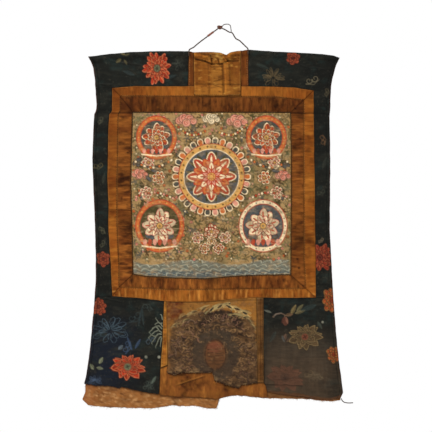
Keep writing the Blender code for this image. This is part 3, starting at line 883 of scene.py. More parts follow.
class Materials:
    """Shader groups and the finishes made from them."""

    def __init__(self) -> None:
        """Builds the groups that the finishes share."""
        self.weave = self.build_weave()
        self.wear = self.build_wear()
        self.made: dict[Fibre, bpy.types.Material] = {}
        self.threads = ThreadWork()

    @staticmethod
    def group(name: str, inputs: dict[str, float], outputs: Sequence[str]) -> bpy.types.NodeTree:
        """Starts a shader group.

        Args:
            name: The group's name.
            inputs: Its named inputs and their usual values, colours as tuples.
            outputs: Its named outputs, colours by names that start with Colour.

        Returns:
            The group, with its input and output nodes.
        """
        tree = bpy.data.node_groups.new(name, "ShaderNodeTree")
        for label, value in inputs.items():
            kind = "NodeSocketColor" if isinstance(value, tuple) else "NodeSocketFloat"
            socket = tree.interface.new_socket(label, in_out="INPUT", socket_type=kind)
            socket.default_value = value
        for label in outputs:
            kind = "NodeSocketColor" if label.startswith("Colour") else "NodeSocketFloat"
            tree.interface.new_socket(label, in_out="OUTPUT", socket_type=kind)
        tree.nodes.new("NodeGroupInput").name = "In"
        tree.nodes.new("NodeGroupOutput").name = "Out"
        return tree

    @staticmethod
    def math(tree: bpy.types.NodeTree, operation: str, first: object, second: object = 0) -> object:
        """Adds a Math node.

        Args:
            tree: Where it goes.
            operation: What it does.
            first: A number or a socket.
            second: A number or a socket.

        Returns:
            The node's output socket.
        """
        node = tree.nodes.new("ShaderNodeMath")
        node.operation = operation
        for socket, value in zip(node.inputs, (first, second)):
            if isinstance(value, (int, float)):
                socket.default_value = value
            else:
                tree.links.new(value, socket)
        return node.outputs[0]

    def build_weave(self) -> bpy.types.NodeTree:
        """Builds the group for warp and weft threads.

        Returns:
            The group.
        """
        tree = self.group("Weave", {"Warp": 1400, "Weft": 1400, "Wander": 0.0004}, ("Height", "Thread"))
        inside, out = tree.nodes["In"], tree.nodes["Out"]
        new, link, reckon = tree.nodes.new, tree.links.new, partial(self.math, tree)
        where = new("ShaderNodeTexCoord")
        wander = new("ShaderNodeTexNoise")
        wander.inputs["Scale"].default_value = 55
        link(where.outputs["Object"], wander.inputs["Vector"])
        drift = reckon("MULTIPLY", wander.outputs[0], inside.outputs["Wander"])
        split = new("ShaderNodeSeparateXYZ")
        link(where.outputs["Object"], split.inputs[0])
        waves = []
        for axis, label in (("X", "Warp"), ("Z", "Weft")):
            place = reckon("ADD", split.outputs[axis], drift)
            turns = reckon("MULTIPLY", reckon("MULTIPLY", place, inside.outputs[label]), 2 * math.pi)
            waves.append(reckon("SINE", turns))
        over = reckon("MULTIPLY", *waves)
        most = reckon("MAXIMUM", *waves)
        height = reckon("ADD", reckon("MULTIPLY", over, 0.35), most)
        link(height, out.inputs["Height"])
        link(reckon("MULTIPLY", reckon("ADD", over, 1), 0.5), out.inputs["Thread"])
        return tree

    def build_wear(self) -> bpy.types.NodeTree:
        """Builds the group for uneven fading, soiling and lint.

        Returns:
            The group.
        """
        tree = self.group(
            "Wear", {"Colour": (0.5, 0.5, 0.5, 1), "Worn": (0.6, 0.5, 0.4, 1), "Soil": (0.05, 0.03, 0.02, 1),
                     "Fading": 0.2, "Soiling": 0.2, "Scale": 60, "Thread": 0.5, "Contrast": 0.2},
            ("Colour", "Rough"),
        )
        inside, out = tree.nodes["In"], tree.nodes["Out"]
        new, link, reckon = tree.nodes.new, tree.links.new, partial(self.math, tree)
        where = new("ShaderNodeTexCoord")
        fine = new("ShaderNodeTexNoise")
        fine.inputs["Detail"].default_value = 6
        fine.inputs["Roughness"].default_value = 0.65
        link(where.outputs["Object"], fine.inputs["Vector"])
        link(inside.outputs["Scale"], fine.inputs["Scale"])
        broad = new("ShaderNodeTexNoise")
        broad.inputs["Scale"].default_value = 14
        broad.inputs["Detail"].default_value = 4
        link(where.outputs["Object"], broad.inputs["Vector"])
        fade = reckon("MULTIPLY", reckon("SUBTRACT", fine.outputs[0], 0.42), 3)
        fade = reckon("MULTIPLY", reckon("MINIMUM", reckon("MAXIMUM", fade, 0), 1), inside.outputs["Fading"])
        soil = reckon("MULTIPLY", reckon("SUBTRACT", broad.outputs[0], 0.45), 3)
        soil = reckon("MULTIPLY", reckon("MINIMUM", reckon("MAXIMUM", soil, 0), 1), inside.outputs["Soiling"])
        faded = self.mix(tree, fade, inside.outputs["Colour"], inside.outputs["Worn"])
        soiled = self.mix(tree, soil, faded, inside.outputs["Soil"])
        low = reckon("SUBTRACT", 1, reckon("MULTIPLY", inside.outputs["Contrast"], 0.5))
        gain = reckon("ADD", low, reckon("MULTIPLY", inside.outputs["Thread"], inside.outputs["Contrast"]))
        shaded = new("ShaderNodeVectorMath")
        shaded.operation = "SCALE"
        link(soiled, shaded.inputs[0])
        link(gain, shaded.inputs["Scale"])
        link(shaded.outputs[0], out.inputs["Colour"])
        link(reckon("MULTIPLY", fine.outputs[0], 0.25), out.inputs["Rough"])
        return tree

    @staticmethod
    def mix(tree: bpy.types.NodeTree, factor: object, first: object, second: object) -> object:
        """Adds a colour Mix node and gives its output.

        Args:
            tree: Where it goes.
            factor: The socket for the second colour's share.
            first: The first colour's socket.
            second: The second colour's socket.

        Returns:
            The node's colour output.
        """
        node = tree.nodes.new("ShaderNodeMix")
        node.data_type = "RGBA"
        tree.links.new(factor, node.inputs[0])
        tree.links.new(first, node.inputs[6])
        tree.links.new(second, node.inputs[7])
        return node.outputs[2]

    def fabric(self, finish: "Finish") -> bpy.types.Material:
        """Makes a finish's material, once.

        Args:
            finish: What the material is like.

        Returns:
            The material.
        """
        if finish.fibre in self.made:
            return self.made[finish.fibre]
        material = bpy.data.materials.new(finish.fibre.value.replace("_", " "))
        material.use_nodes = True
        tree = material.node_tree
        new, shader = tree.nodes.new, tree.nodes["Principled BSDF"]
        dye, weave, wear = (new(f"ShaderNode{kind}") for kind in ("Attribute", "Group", "Group"))
        dye.attribute_name = "dye"
        weave.node_tree, wear.node_tree = self.weave, self.wear
        rough = self.math(tree, "ADD", wear.outputs["Rough"], finish.roughness - 0.12)
        bump = new("ShaderNodeBump")
        for node, values in (
            (weave, {"Warp": finish.warp, "Weft": finish.weft}),
            (wear, {"Worn": (*linear(finish.worn), 1), "Soil": (*linear(finish.soil), 1),
                    "Fading": finish.fading, "Soiling": finish.soiling, "Scale": finish.wear_scale,
                    "Contrast": finish.contrast}),
            (bump, {"Strength": finish.bump, "Distance": 0.0003}),
            (shader, {"Specular IOR Level": finish.gloss}),
        ):
            for socket, value in values.items():
                node.inputs[socket].default_value = value
        for source, goal, socket in (
            (dye.outputs["Color"], wear, "Colour"), (weave.outputs["Thread"], wear, "Thread"),
            (wear.outputs["Colour"], shader, "Base Color"), (rough, shader, "Roughness"),
            (weave.outputs["Height"], bump, "Height"), (bump.outputs["Normal"], shader, "Normal"),
        ):
            tree.links.new(source, goal.inputs[socket])
        self.made[finish.fibre] = material
        return material


@dataclass(frozen=True)
class Finish:
    """What a cloth or yarn is like close up."""

    fibre: Fibre
    roughness: float = 0.8
    warp: float = 1400
    weft: float = 1400
    bump: float = 0.35
    gloss: float = 0.3
    fading: float = 0.2
    soiling: float = 0.2
    contrast: float = 0.15
    wear_scale: float = 70
    worn: Colour = (170, 140, 100)
    soil: Colour = (50, 34, 20)


BROCADE = Finish(Fibre.BROCADE, 0.78, 1500, 900, 0.35, 0.12, 0.06, 0.1, 0.2, 90,
                 (62, 62, 54), (24, 20, 16))
ORANGE_SILK = Finish(Fibre.ORANGE_SILK, 0.72, 1200, 700, 0.4, 0.06, 0.14, 0.34, 0.14, 60,
                     (196, 124, 46), (78, 38, 12))
GOLD_SILK = Finish(Fibre.GOLD_SILK, 0.68, 1100, 1000, 0.35, 0.07, 0.16, 0.3, 0.14, 60,
                   (204, 136, 48), (84, 42, 14))
BROWN_SILK = Finish(Fibre.BROWN_SILK, 0.76, 1200, 700, 0.4, 0.06, 0.12, 0.34, 0.16, 60,
                    (152, 88, 32), (46, 20, 8))
DOOR_SILK = Finish(Fibre.DOOR_BROCADE, 0.78, 1300, 900, 0.4, 0.1, 0.12, 0.2, 0.2, 80,
                   (140, 106, 66), (44, 32, 22))
PAINT = Finish(Fibre.PAINTED_CLOTH, 0.85, 1100, 1100, 0.2, 0.1, 0.12, 0.12, 0.1, 110,
               (206, 176, 130), (90, 70, 44))
COTTON = Finish(Fibre.LINING_COTTON, 0.92, 620, 620, 0.7, 0.08, 0.2, 0.25, 0.3, 50,
                (190, 140, 88), (100, 60, 30))
YARN = Finish(Fibre.CORD, 0.88, 900, 900, 0.2, 0.1, 0.25, 0.2, 0.1, 200, (160, 136, 112), (60, 44, 34))
THREAD = Finish(Fibre.BINDING, 0.85, 900, 900, 0.2, 0.1, 0.2, 0.2, 0.1, 200,
                (190, 140, 120), (90, 52, 42))


def mesh_of(name: str, points: Array, faces: list, colours: Array, material: bpy.types.Material,
            ) -> bpy.types.Object:
    """Makes an object from points in metres.

    Args:
        name: The piece's name.
        points: Its corners.
        faces: Its faces.
        colours: The dye at each corner.
        material: Its material.

    Returns:
        The object, at the origin.
    """
    mesh = bpy.data.meshes.new(name)
    mesh.from_pydata(points.tolist(), [], faces)
    layer = mesh.attributes.new("dye", "FLOAT_COLOR", "POINT")
    layer.data.foreach_set("color", np.column_stack([colours, np.ones(len(colours))]).ravel())
    mesh.materials.append(material)
    mesh.shade_smooth()
    piece = bpy.data.objects.new(name, mesh)
    bpy.context.scene.collection.objects.link(piece)
    return piece


@dataclass
class Cloth:
    """Turns a cut into a closed, dyed sheet in the folds that all the pieces share."""

    cut: Cut
    finish: Finish
    dye: Callable[["Dye", Array, Array, Array], None]
    relief: Callable[[Array, Array, Array], Array] | None = None
    ground: Colour = (128, 96, 60)
    underside: Callable[["Dye", Array, Array, Array], None] | None = None
    drape: Drape = field(default_factory=Drape)

    def sew(self, trim: Trim, materials: Materials) -> bpy.types.Object:
        """Sews one line of stitches or loose threads to the cloth's front.

        Args:
            trim: The line.
            materials: Where the thread's finish comes from.

        Returns:
            The piece.
        """
        cut = self.cut
        places = np.array(trim.line, float)
        across, down = places[:, 0], places[:, 1]
        depth = self.drape.back(across, down, ridges=not cut.behind) + cut.behind
        if cut.lap is not None:
            depth = depth - LAP_FORWARD * smooth(down, cut.lap, cut.lap + LAP_RUN)
        if self.relief is not None:
            depth = depth - self.relief(across, down, np.full_like(across, 4))
        raised = 0 if trim.frayed else cut.thickness / 2 - 0.1 * trim.thick
        depth = depth + (raised if trim.behind else -raised)
        points = np.stack([CENTRE_X + across, depth, TOP_Z - down], axis=1)
        return materials.threads.sew(trim, points, materials.fabric(THREAD), Fibre.BINDING.value)

    def build(self, materials: Materials, trims: Sequence[Trim] = ()) -> bpy.types.Object:
        """Args:
            materials: Where its finish comes from.
            trims: Its lines of stitches and loose threads.

        Returns:
            The piece.
        """
        cut = self.cut
        grid, rows, columns = cut.grid()
        across, down = grid[..., 0], grid[..., 1]
        middle = self.drape.back(across, down, ridges=not cut.behind) + cut.behind
        if cut.lap is not None:
            middle = middle - LAP_FORWARD * smooth(down, cut.lap, cut.lap + LAP_RUN)
        width, length = cut.size()
        bulge = np.zeros_like(middle)
        if cut.casing:
            profile = np.array(CASING)
            bulge = bulge + np.interp(rows * length, profile[:, 0], profile[:, 1])[:, None]
        far = cut.from_edge(rows, columns, torn=False)
        sunk = cut.roll * fall(far, 0, cut.roll_run) ** 1.5
        if self.relief is not None:
            middle = middle - self.relief(across, down, far)
        front = middle - cut.thickness / 2 - bulge + sunk
        back = middle + cut.thickness / 2 + CASING_BACK_SHARE * bulge

        dye = Dye(across, down, self.ground)
        self.dye(dye, across, down, far)
        # Painted shade along every sewn edge, darkest at the seam itself.
        dye.shade(1 - 0.5 * fall(far, 0, 1.8))
        # Painted shade along the folds, from the drape's fold lines.
        if not cut.behind:
            dye.shade(1 - np.clip(self.drape.fold_shade(across, down), 0, 0.6))
        step = cut.back_every
        behind = grid[::step, ::step]
        points = np.concatenate([
            self.placed(grid, front), self.placed(behind, back[::step, ::step]),
        ])
        inner = Dye(behind[..., 0], behind[..., 1], (150, 110, 72))
        if self.underside is not None:
            self.underside(inner, behind[..., 0], behind[..., 1], far[::step, ::step])
        colours = np.concatenate([dye.colour, inner.colour])
        faces = self.faces(grid.shape[:2], step)
        piece = mesh_of(f"{cut.name}_cloth", points * MM, faces, colours, materials.fabric(self.finish))
        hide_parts(cut.name)
        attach(piece, "root")
        [self.sew(trim, materials) for trim in trims]
        LOG.info("%s: %.0f x %.0f mm, %d faces", cut.name, width, length, len(faces))
        return piece

    @staticmethod
    def placed(grid: Array, depth: Array) -> Array:
        """Puts places on the cloth into the scene, in millimetres."""
        return np.stack([CENTRE_X + grid[..., 0], depth, TOP_Z - grid[..., 1]], axis=-1).reshape(-1, 3)

    @staticmethod
    def faces(shape: tuple[int, int], step: int) -> list:
        """Joins a fine front and a coarser back into one closed sheet.

        Args:
            shape: The front's rows and columns.
            step: How many of the front's cells one of the back's spans.

        Returns:
            The faces.
        """
        front = np.arange(shape[0] * shape[1]).reshape(shape)
        coarse = (shape[0] - 1) // step + 1, (shape[1] - 1) // step + 1
        back = front.size + np.arange(coarse[0] * coarse[1]).reshape(coarse)
        quads = np.stack([front[:-1, :-1], front[1:, :-1], front[1:, 1:], front[:-1, 1:]], axis=-1)
        faces = quads.reshape(-1, 4).tolist()
        quads = np.stack([back[:-1, 1:], back[1:, 1:], back[1:, :-1], back[:-1, :-1]], axis=-1)
        faces += quads.reshape(-1, 4).tolist()
        rims = ((front[0], back[0]), (front[:, -1], back[:, -1]),
                (front[-1, ::-1], back[-1, ::-1]), (front[::-1, 0], back[::-1, 0]))
        for fine, wide in rims:
            for k in range(len(wide) - 1):
                faces.append([*fine[k * step:(k + 1) * step + 1].tolist(), int(wide[k + 1]), int(wide[k])])
        return faces


@dataclass
class TopBand:
    """The band at the top, folded over the stick: brocade, strips and the gold panel."""

    cell: float = 1.5
    # The gold panel's folds, each as (one end, the other end, half width, height to the front)
    folds: ClassVar[tuple] = (
        ((-44, 22), (-20, 27), 3.4, -2.4), ((-20, 27), (-4, 34), 3.2, -2.8),
        ((-4, 34), (20, 33), 3, -2.6), ((20, 33), (34, 27), 3.2, -2.4),
        ((34, 27), (60, 26), 3.4, -1.6), ((-42, 15), (-14, 17), 4, 1.8),
        ((-6, 15), (-3, 31), 2.4, -2.4), ((12, 24), (14, 34), 2.2, -1.8),
        ((24, 18), (34, 30), 2.6, 2), ((-13, 24), (-10, 104), 3.6, -0.7),
        ((22, 36), (24, 106), 4.4, -1.2), ((28, 36), (30, 100), 4, 0.8),
        ((38, 36), (40, 84), 4, -0.8), ((-44, 82), (62, 83), 3.4, -0.9),
        ((-4, 41), (20, 40), 2, -1), ((-3, 47), (19, 48), 2, -0.8),
        ((2, 75), (18, 72), 2.2, -1), ((4, 86), (19, 90), 2.2, -1),
    )

    def build(self, materials: Materials) -> None:
        """Makes its five pieces.

        Args:
            materials: Where its finishes come from.
        """
        panel_end = (Trim("gold_panel_stitches", along(GOLD_PANEL_END, -43, 62, False, -2.6), (70, 36, 14),
                          False, 5, 3.2, 0.8),
                     Trim("gold_panel_anchors", ((-45, 8), (-44, 14), (-45.5, 20)), (186, 140, 84), True, 1.6,
                          5, 0.7, 1.4, 12))
        rows = (
            ("brocade_top_left", TOP_EDGE, TOP_SEAM_LEFT, BORDER_TOP, SIDE_LEFT, BROCADE),
            ("top_strip_left", TOP_EDGE, TOP_STRIP_LEFT, BORDER_TOP, TOP_SEAM_LEFT, ORANGE_SILK),
            ("top_gold_panel", TOP_EDGE, TOP_STRIP_RIGHT, GOLD_PANEL_END, TOP_STRIP_LEFT, GOLD_SILK),
            ("top_strip_right", TOP_EDGE, TOP_SEAM_RIGHT, BORDER_TOP, TOP_STRIP_RIGHT, ORANGE_SILK),
            ("brocade_top_right", TOP_EDGE, SIDE_RIGHT, BORDER_TOP, TOP_SEAM_RIGHT, BROCADE),
        )
        for name, top, right, bottom, left, finish in rows:
            gold = name == "top_gold_panel"
            cut = Cut(name, top, right, bottom, left, cell=1.1 if gold else self.cell, casing=True,
                      lap=66 if gold else None, torn=("bottom",) if finish is BROCADE else (), back_every=2)
            if gold:
                Cloth(cut, finish, self.gold, self.crumple, underside=self.gold).build(materials, panel_end)
            elif finish is BROCADE:
                flowers = BrocadeFlowers()
                Cloth(cut, finish, flowers, brocade_relief, underside=flowers).build(materials)
            else:
                Cloth(cut, finish, russet, underside=russet).build(materials, self.strip_stitches(name))

    @staticmethod
    def strip_stitches(name: str) -> tuple[Trim, ...]:
        """Gives the pale stitches down a strip beside the gold panel.

        Args:
            name: The strip's name.

        Returns:
            The stitches.
        """
        edge, inset = (TOP_SEAM_LEFT, 3) if name.endswith("left") else (TOP_SEAM_RIGHT, -3)
        line = along(edge, 8, 82, True, inset)
        return (Trim(f"{name}_stitches", line, (176, 122, 76), False, 5.4, 3, 0.7),)

    @staticmethod
    def crumple(across: Array, down: Array, far: Array) -> Array:
        """Raises the rolled and crumpled top of the gold panel and its wrinkles.

        Args:
            across: Where, in millimetres.
            down: Where, in millimetres.
            far: How far each place is from its edges.

        Returns:
            The height to the front, in millimetres.
        """
        height = 0
        for start, end, half, tall in TopBand.folds:
            height = height + crease(across, down, start, end, half, tall, 4)
        crumpled = 5.6 * (noise(across, down * 1.8, 17, 31, 3) - 0.5) * fall(down, 18, 34)
        band = smooth(across, -7, -3) * fall(across, 18, 22) * smooth(down, 30, 40)
        wrinkles = (0.5 + 0.9 * band) * (noise(across * 0.3, down * 1.6, 9, 32, 3) - 0.5)
        upright = 1.3 * (noise(across * 1.3, down * 0.25, 18, 35, 3) - 0.5)
        return height + crumpled + wrinkles + upright

    @staticmethod
    def gold(dye: Dye, across: Array, down: Array, far: Array) -> None:
        """Dyes the gold panel, paler down its middle, with painted shade in its folds and painted highlights
        on its crumpled top.

        Args:
            dye: The cloth's colours.
            across: Where, in millimetres.
            down: Where, in millimetres.
            far: How far each place is from its edges.
        """
        dye.wash(1, (142, 82, 26))
        dye.mottle((174, 110, 40), 2, 0.42, 30, 33, 5)
        dye.mottle((84, 42, 13), 2.8, 0.5, 26, 34, 5, wide=1.6, tall=0.6)
        band = smooth(across, -7, -3) * fall(across, 18, 22) * smooth(down, 28, 36)
        dye.wash(0.55 * band, (182, 120, 48))
        dye.wash(0.55 * smooth(down, 84, 90), (176, 112, 42))
        dye.wash(0.5 * smooth(across, 26, 60), (98, 52, 20))
        # Painted highlight on the crumpled top.
        highlight = smooth(across, -16, 0) * fall(across, 18, 26) * fall(down, 28, 33)
        dye.wash(2.2 * highlight * (noise(across, down, 8, 36, 2) - 0.32), (228, 172, 82))
        # Painted shade and light from the crumpled relief: darker where it sinks, lighter where it rises.
        height = TopBand.crumple(across, down, far)
        dye.shade(np.clip(1 + 0.42 * height, 0.34, 1.5))
        # Painted highlight along the folded rims, 1.8 mm in from the edges.
        dye.wash(0.5 * fall(np.abs(far - 1.8), 0.3, 1.4) * noise(across, down, 14, 37), (206, 152, 76))
        # Painted shade along the deep folds.
        for start, end, half, tall in TopBand.folds:
            if tall < 0:
                bent = down + 2.4 * (noise(across, down, 7, 38, 2) - 0.5)
                swayed = across + 7 * (noise(across, down, 14, 30, 2) - 0.5)
                dye.wash(crease(swayed, bent, start, end, 0.9 * half, min(0.8, -0.28 * tall), 3),
                         (56, 27, 10))
        # Painted shade and highlights of small creases, drawn from noise.
        creases = noise(across * 0.5, down * 1.3, 6, 39, 3)
        dye.wash(3 * (creases - 0.6), (80, 40, 13))
        dye.wash(2.4 * (0.37 - creases), (210, 150, 66))
        # Painted shadow along the lower edge and the sides, with the lower corners rounded.
        low = at(GOLD_PANEL_END, across) - down
        nearest = np.minimum(across - at(TOP_STRIP_LEFT, down), at(TOP_STRIP_RIGHT, down) - across)
        rounded = np.hypot(np.maximum(6 - nearest, 0), np.maximum(6 - low, 0))
        dye.wash(0.85 * smooth(rounded, 4.4, 6), (58, 29, 12))


# The mitred seams of the two borders, each from its outer corner to its inner one
MITRES = tuple(
    (corner(outer_level, outer_upright), corner(inner_level, inner_upright))
    for outer_level, outer_upright, inner_level, inner_upright in (
        (BORDER_TOP, BORDER_LEFT, INNER_TOP, INNER_LEFT),
        (INNER_TOP, INNER_LEFT, PAINTING_TOP, PAINTING_LEFT),
        (BORDER_TOP, BORDER_RIGHT, INNER_TOP, INNER_RIGHT),
        (INNER_TOP, INNER_RIGHT, PAINTING_TOP, PAINTING_RIGHT),
        (BORDER_BOTTOM, BORDER_RIGHT, INNER_BOTTOM, INNER_RIGHT),
        (INNER_BOTTOM, INNER_RIGHT, PAINTING_BOTTOM, PAINTING_RIGHT),
        (BORDER_BOTTOM, BORDER_LEFT, INNER_BOTTOM, INNER_LEFT),
        (INNER_BOTTOM, INNER_LEFT, PAINTING_BOTTOM, PAINTING_LEFT),
    )
)


class Tone(Enum):
    """The ribbed silks' shades: usual, light, dark, and a painted highlight at the rim."""

    ORANGE = ((148, 80, 26), (190, 118, 44), (86, 42, 13), (196, 130, 62))
    RUSSET = ((90, 42, 14), (128, 70, 27), (56, 26, 10), (144, 88, 46))
    BROWN = ((116, 62, 24), (168, 100, 40), (44, 21, 9), (164, 108, 48))
    UMBER = ((98, 50, 19), (138, 80, 32), (40, 18, 8), (146, 94, 44))
    AMBER = ((156, 88, 30), (196, 130, 52), (88, 42, 15), (214, 160, 76))
    TAWNY = ((98, 64, 33), (138, 95, 50), (48, 31, 18), (152, 116, 70))


def silk_dye(dye: Dye, across: Array, down: Array, far: Array, ribs: Ribs, tone: Tone) -> None:
    """Dyes a ribbed silk strip in uneven streaks across its length, with painted shade at its seams, wrinkles
    and creases, and a painted highlight along its rims.

    Args:
        dye: The strip's colours.
        across: Where, in millimetres.
        down: Where, in millimetres.
        far: How far each place is from a seam.
        ribs: Which way its ribs run.
        tone: Its shade.
    """
    base, light, dark, rim = tone.value
    bold = 0.48 + 0.3 * smooth(down, 110, 240) if tone is Tone.ORANGE else 1
    along, beside = (across, down) if ribs is Ribs.UPRIGHT else (down, across)
    dye.wash(1, base)
    dye.wash(3.2 * bold * (noise(along, beside * 0.22, 9, 41, 4) - 0.5), light)
    dye.wash(3.6 * bold * (noise(along, beside * 0.45, 21, 42, 5) - 0.5), dark)
    dye.mottle(light, 1.5, 0.45, 64, 43)
    dye.wash(3 * bold * (noise(across, down, 15, 47, 4) - 0.6), dark)
    streaks = ()
    if tone in (Tone.UMBER, Tone.BROWN):
        streaks = ((2.6, 4.5, 25, 0.54, dark), (2.2, 5.5, 24, 0.55, light))
    elif tone is Tone.ORANGE:
        late = 2.6 * smooth(down, 540, 580)
        streaks = ((late, 5.5, 23, 0.53, dark), (late, 6.5, 22, 0.53, (206, 138, 62)))
    for strength, scale, seed, level, colour in streaks:
        dye.wash(strength * (noise(along, beside * 0.25, scale, seed, 3) - level), colour)
    dye.shade(0.56 + 0.88 * noise(along, beside * 0.16, 3, 46, 3))
    dye.shade(0.87 + 0.08 * smooth(across, -260, -160) + 0.1 * smooth(down, 300, 600))
    # Painted shade and light from the wrinkles' relief.
    wrinkles = ribbed(across, down, ribs)
    dye.shade(np.clip(1 + 0.16 * wrinkles, 0.7, 1.3))
    if tone is Tone.ORANGE:
        upper_left = fall(down, 260, 400) * fall(across, -244, -150)
        dye.wash(0.7 * upper_left * noise(across, down, 40, 29, 3), (92, 38, 14))
    # Painted shade along the seams.
    dye.wash(0.6 * fall(far, 1.4, 5) * noise(across, down, 24, 49), dark)
    # Painted highlight along the folded rims in the rim colour, left off at the mitres.
    mitred = sum(crease(across, down, start, end, 5, 2, 4) for start, end in MITRES)
    rim_highlight = (1 - np.clip(mitred, 0, 1)) * fall(np.abs(far - 1.7), 0.3, 1.3)
    dye.wash(0.75 * rim_highlight * noise(across, down, 20, 48), rim)
    if tone is Tone.BROWN:
        dye.wash(0.7 * fall(down, 146, 152), (70, 34, 14))
    if tone is Tone.UMBER:
        # Painted shadow under the gold panel's lower edge.
        under = smooth(across, -50, -45) * fall(across, 63, 68)
        dye.wash(0.8 * under * fall(down - at(GOLD_PANEL_END, across), 0.5, 4.5), (34, 16, 7))
    if ribs is Ribs.LEVEL:
        # Painted shade in the crease across the side strips, 151 mm down.
        fold = down + 3 * (noise(across, down, 22, 28, 2) - 0.5)
        dye.wash(0.7 * fall(np.abs(fold - 151), 0.6, 2.2), (44, 20, 8))
    for a, d, radius in SPOTS:
        dye.motif(a, d, 2 * radius, fade=0.8).disc(0, 0, radius, (40, 20, 10), 0.8, 1.6)


def ribbed(across: Array, down: Array, ribs: Ribs) -> Array:
    """Raises a ribbed silk's uneven ribs and puckers.

    Args:
        across: Where, in millimetres.
        down: Where, in millimetres.
        ribs: Which way its ribs run.

    Returns:
        The height to the front, in millimetres.
    """
    along, beside = (across, down) if ribs is Ribs.UPRIGHT else (down, across)
    fine = 0.8 * (noise(along, beside * 0.12, 4.2, 44, 2) - 0.5)
    return fine + 1.7 * (noise(along, beside * 0.35, 24, 45, 3) - 0.5)


def russet(dye: Dye, across: Array, down: Array, far: Array) -> None:
    """Dyes the strips beside the gold panel."""
    silk_dye(dye, across, down, far, Ribs.UPRIGHT, Tone.RUSSET)


class Bloom(Enum):
    """The brocade's kinds of flower: petals, their rims, the line down each, and the centre."""

    ORANGE = ((166, 68, 32), (142, 104, 56), (190, 100, 48), (150, 60, 30))
    RED = ((180, 54, 28), (198, 110, 72), (206, 112, 66), (112, 110, 80))
    BRICK = ((138, 48, 30), (152, 76, 48), (158, 80, 50), (104, 48, 34))
    OLIVE = ((98, 75, 48), (134, 111, 74), (72, 54, 36), (120, 66, 46))
    FADED = ((100, 64, 47), (108, 74, 55), (88, 56, 42), (82, 54, 42))


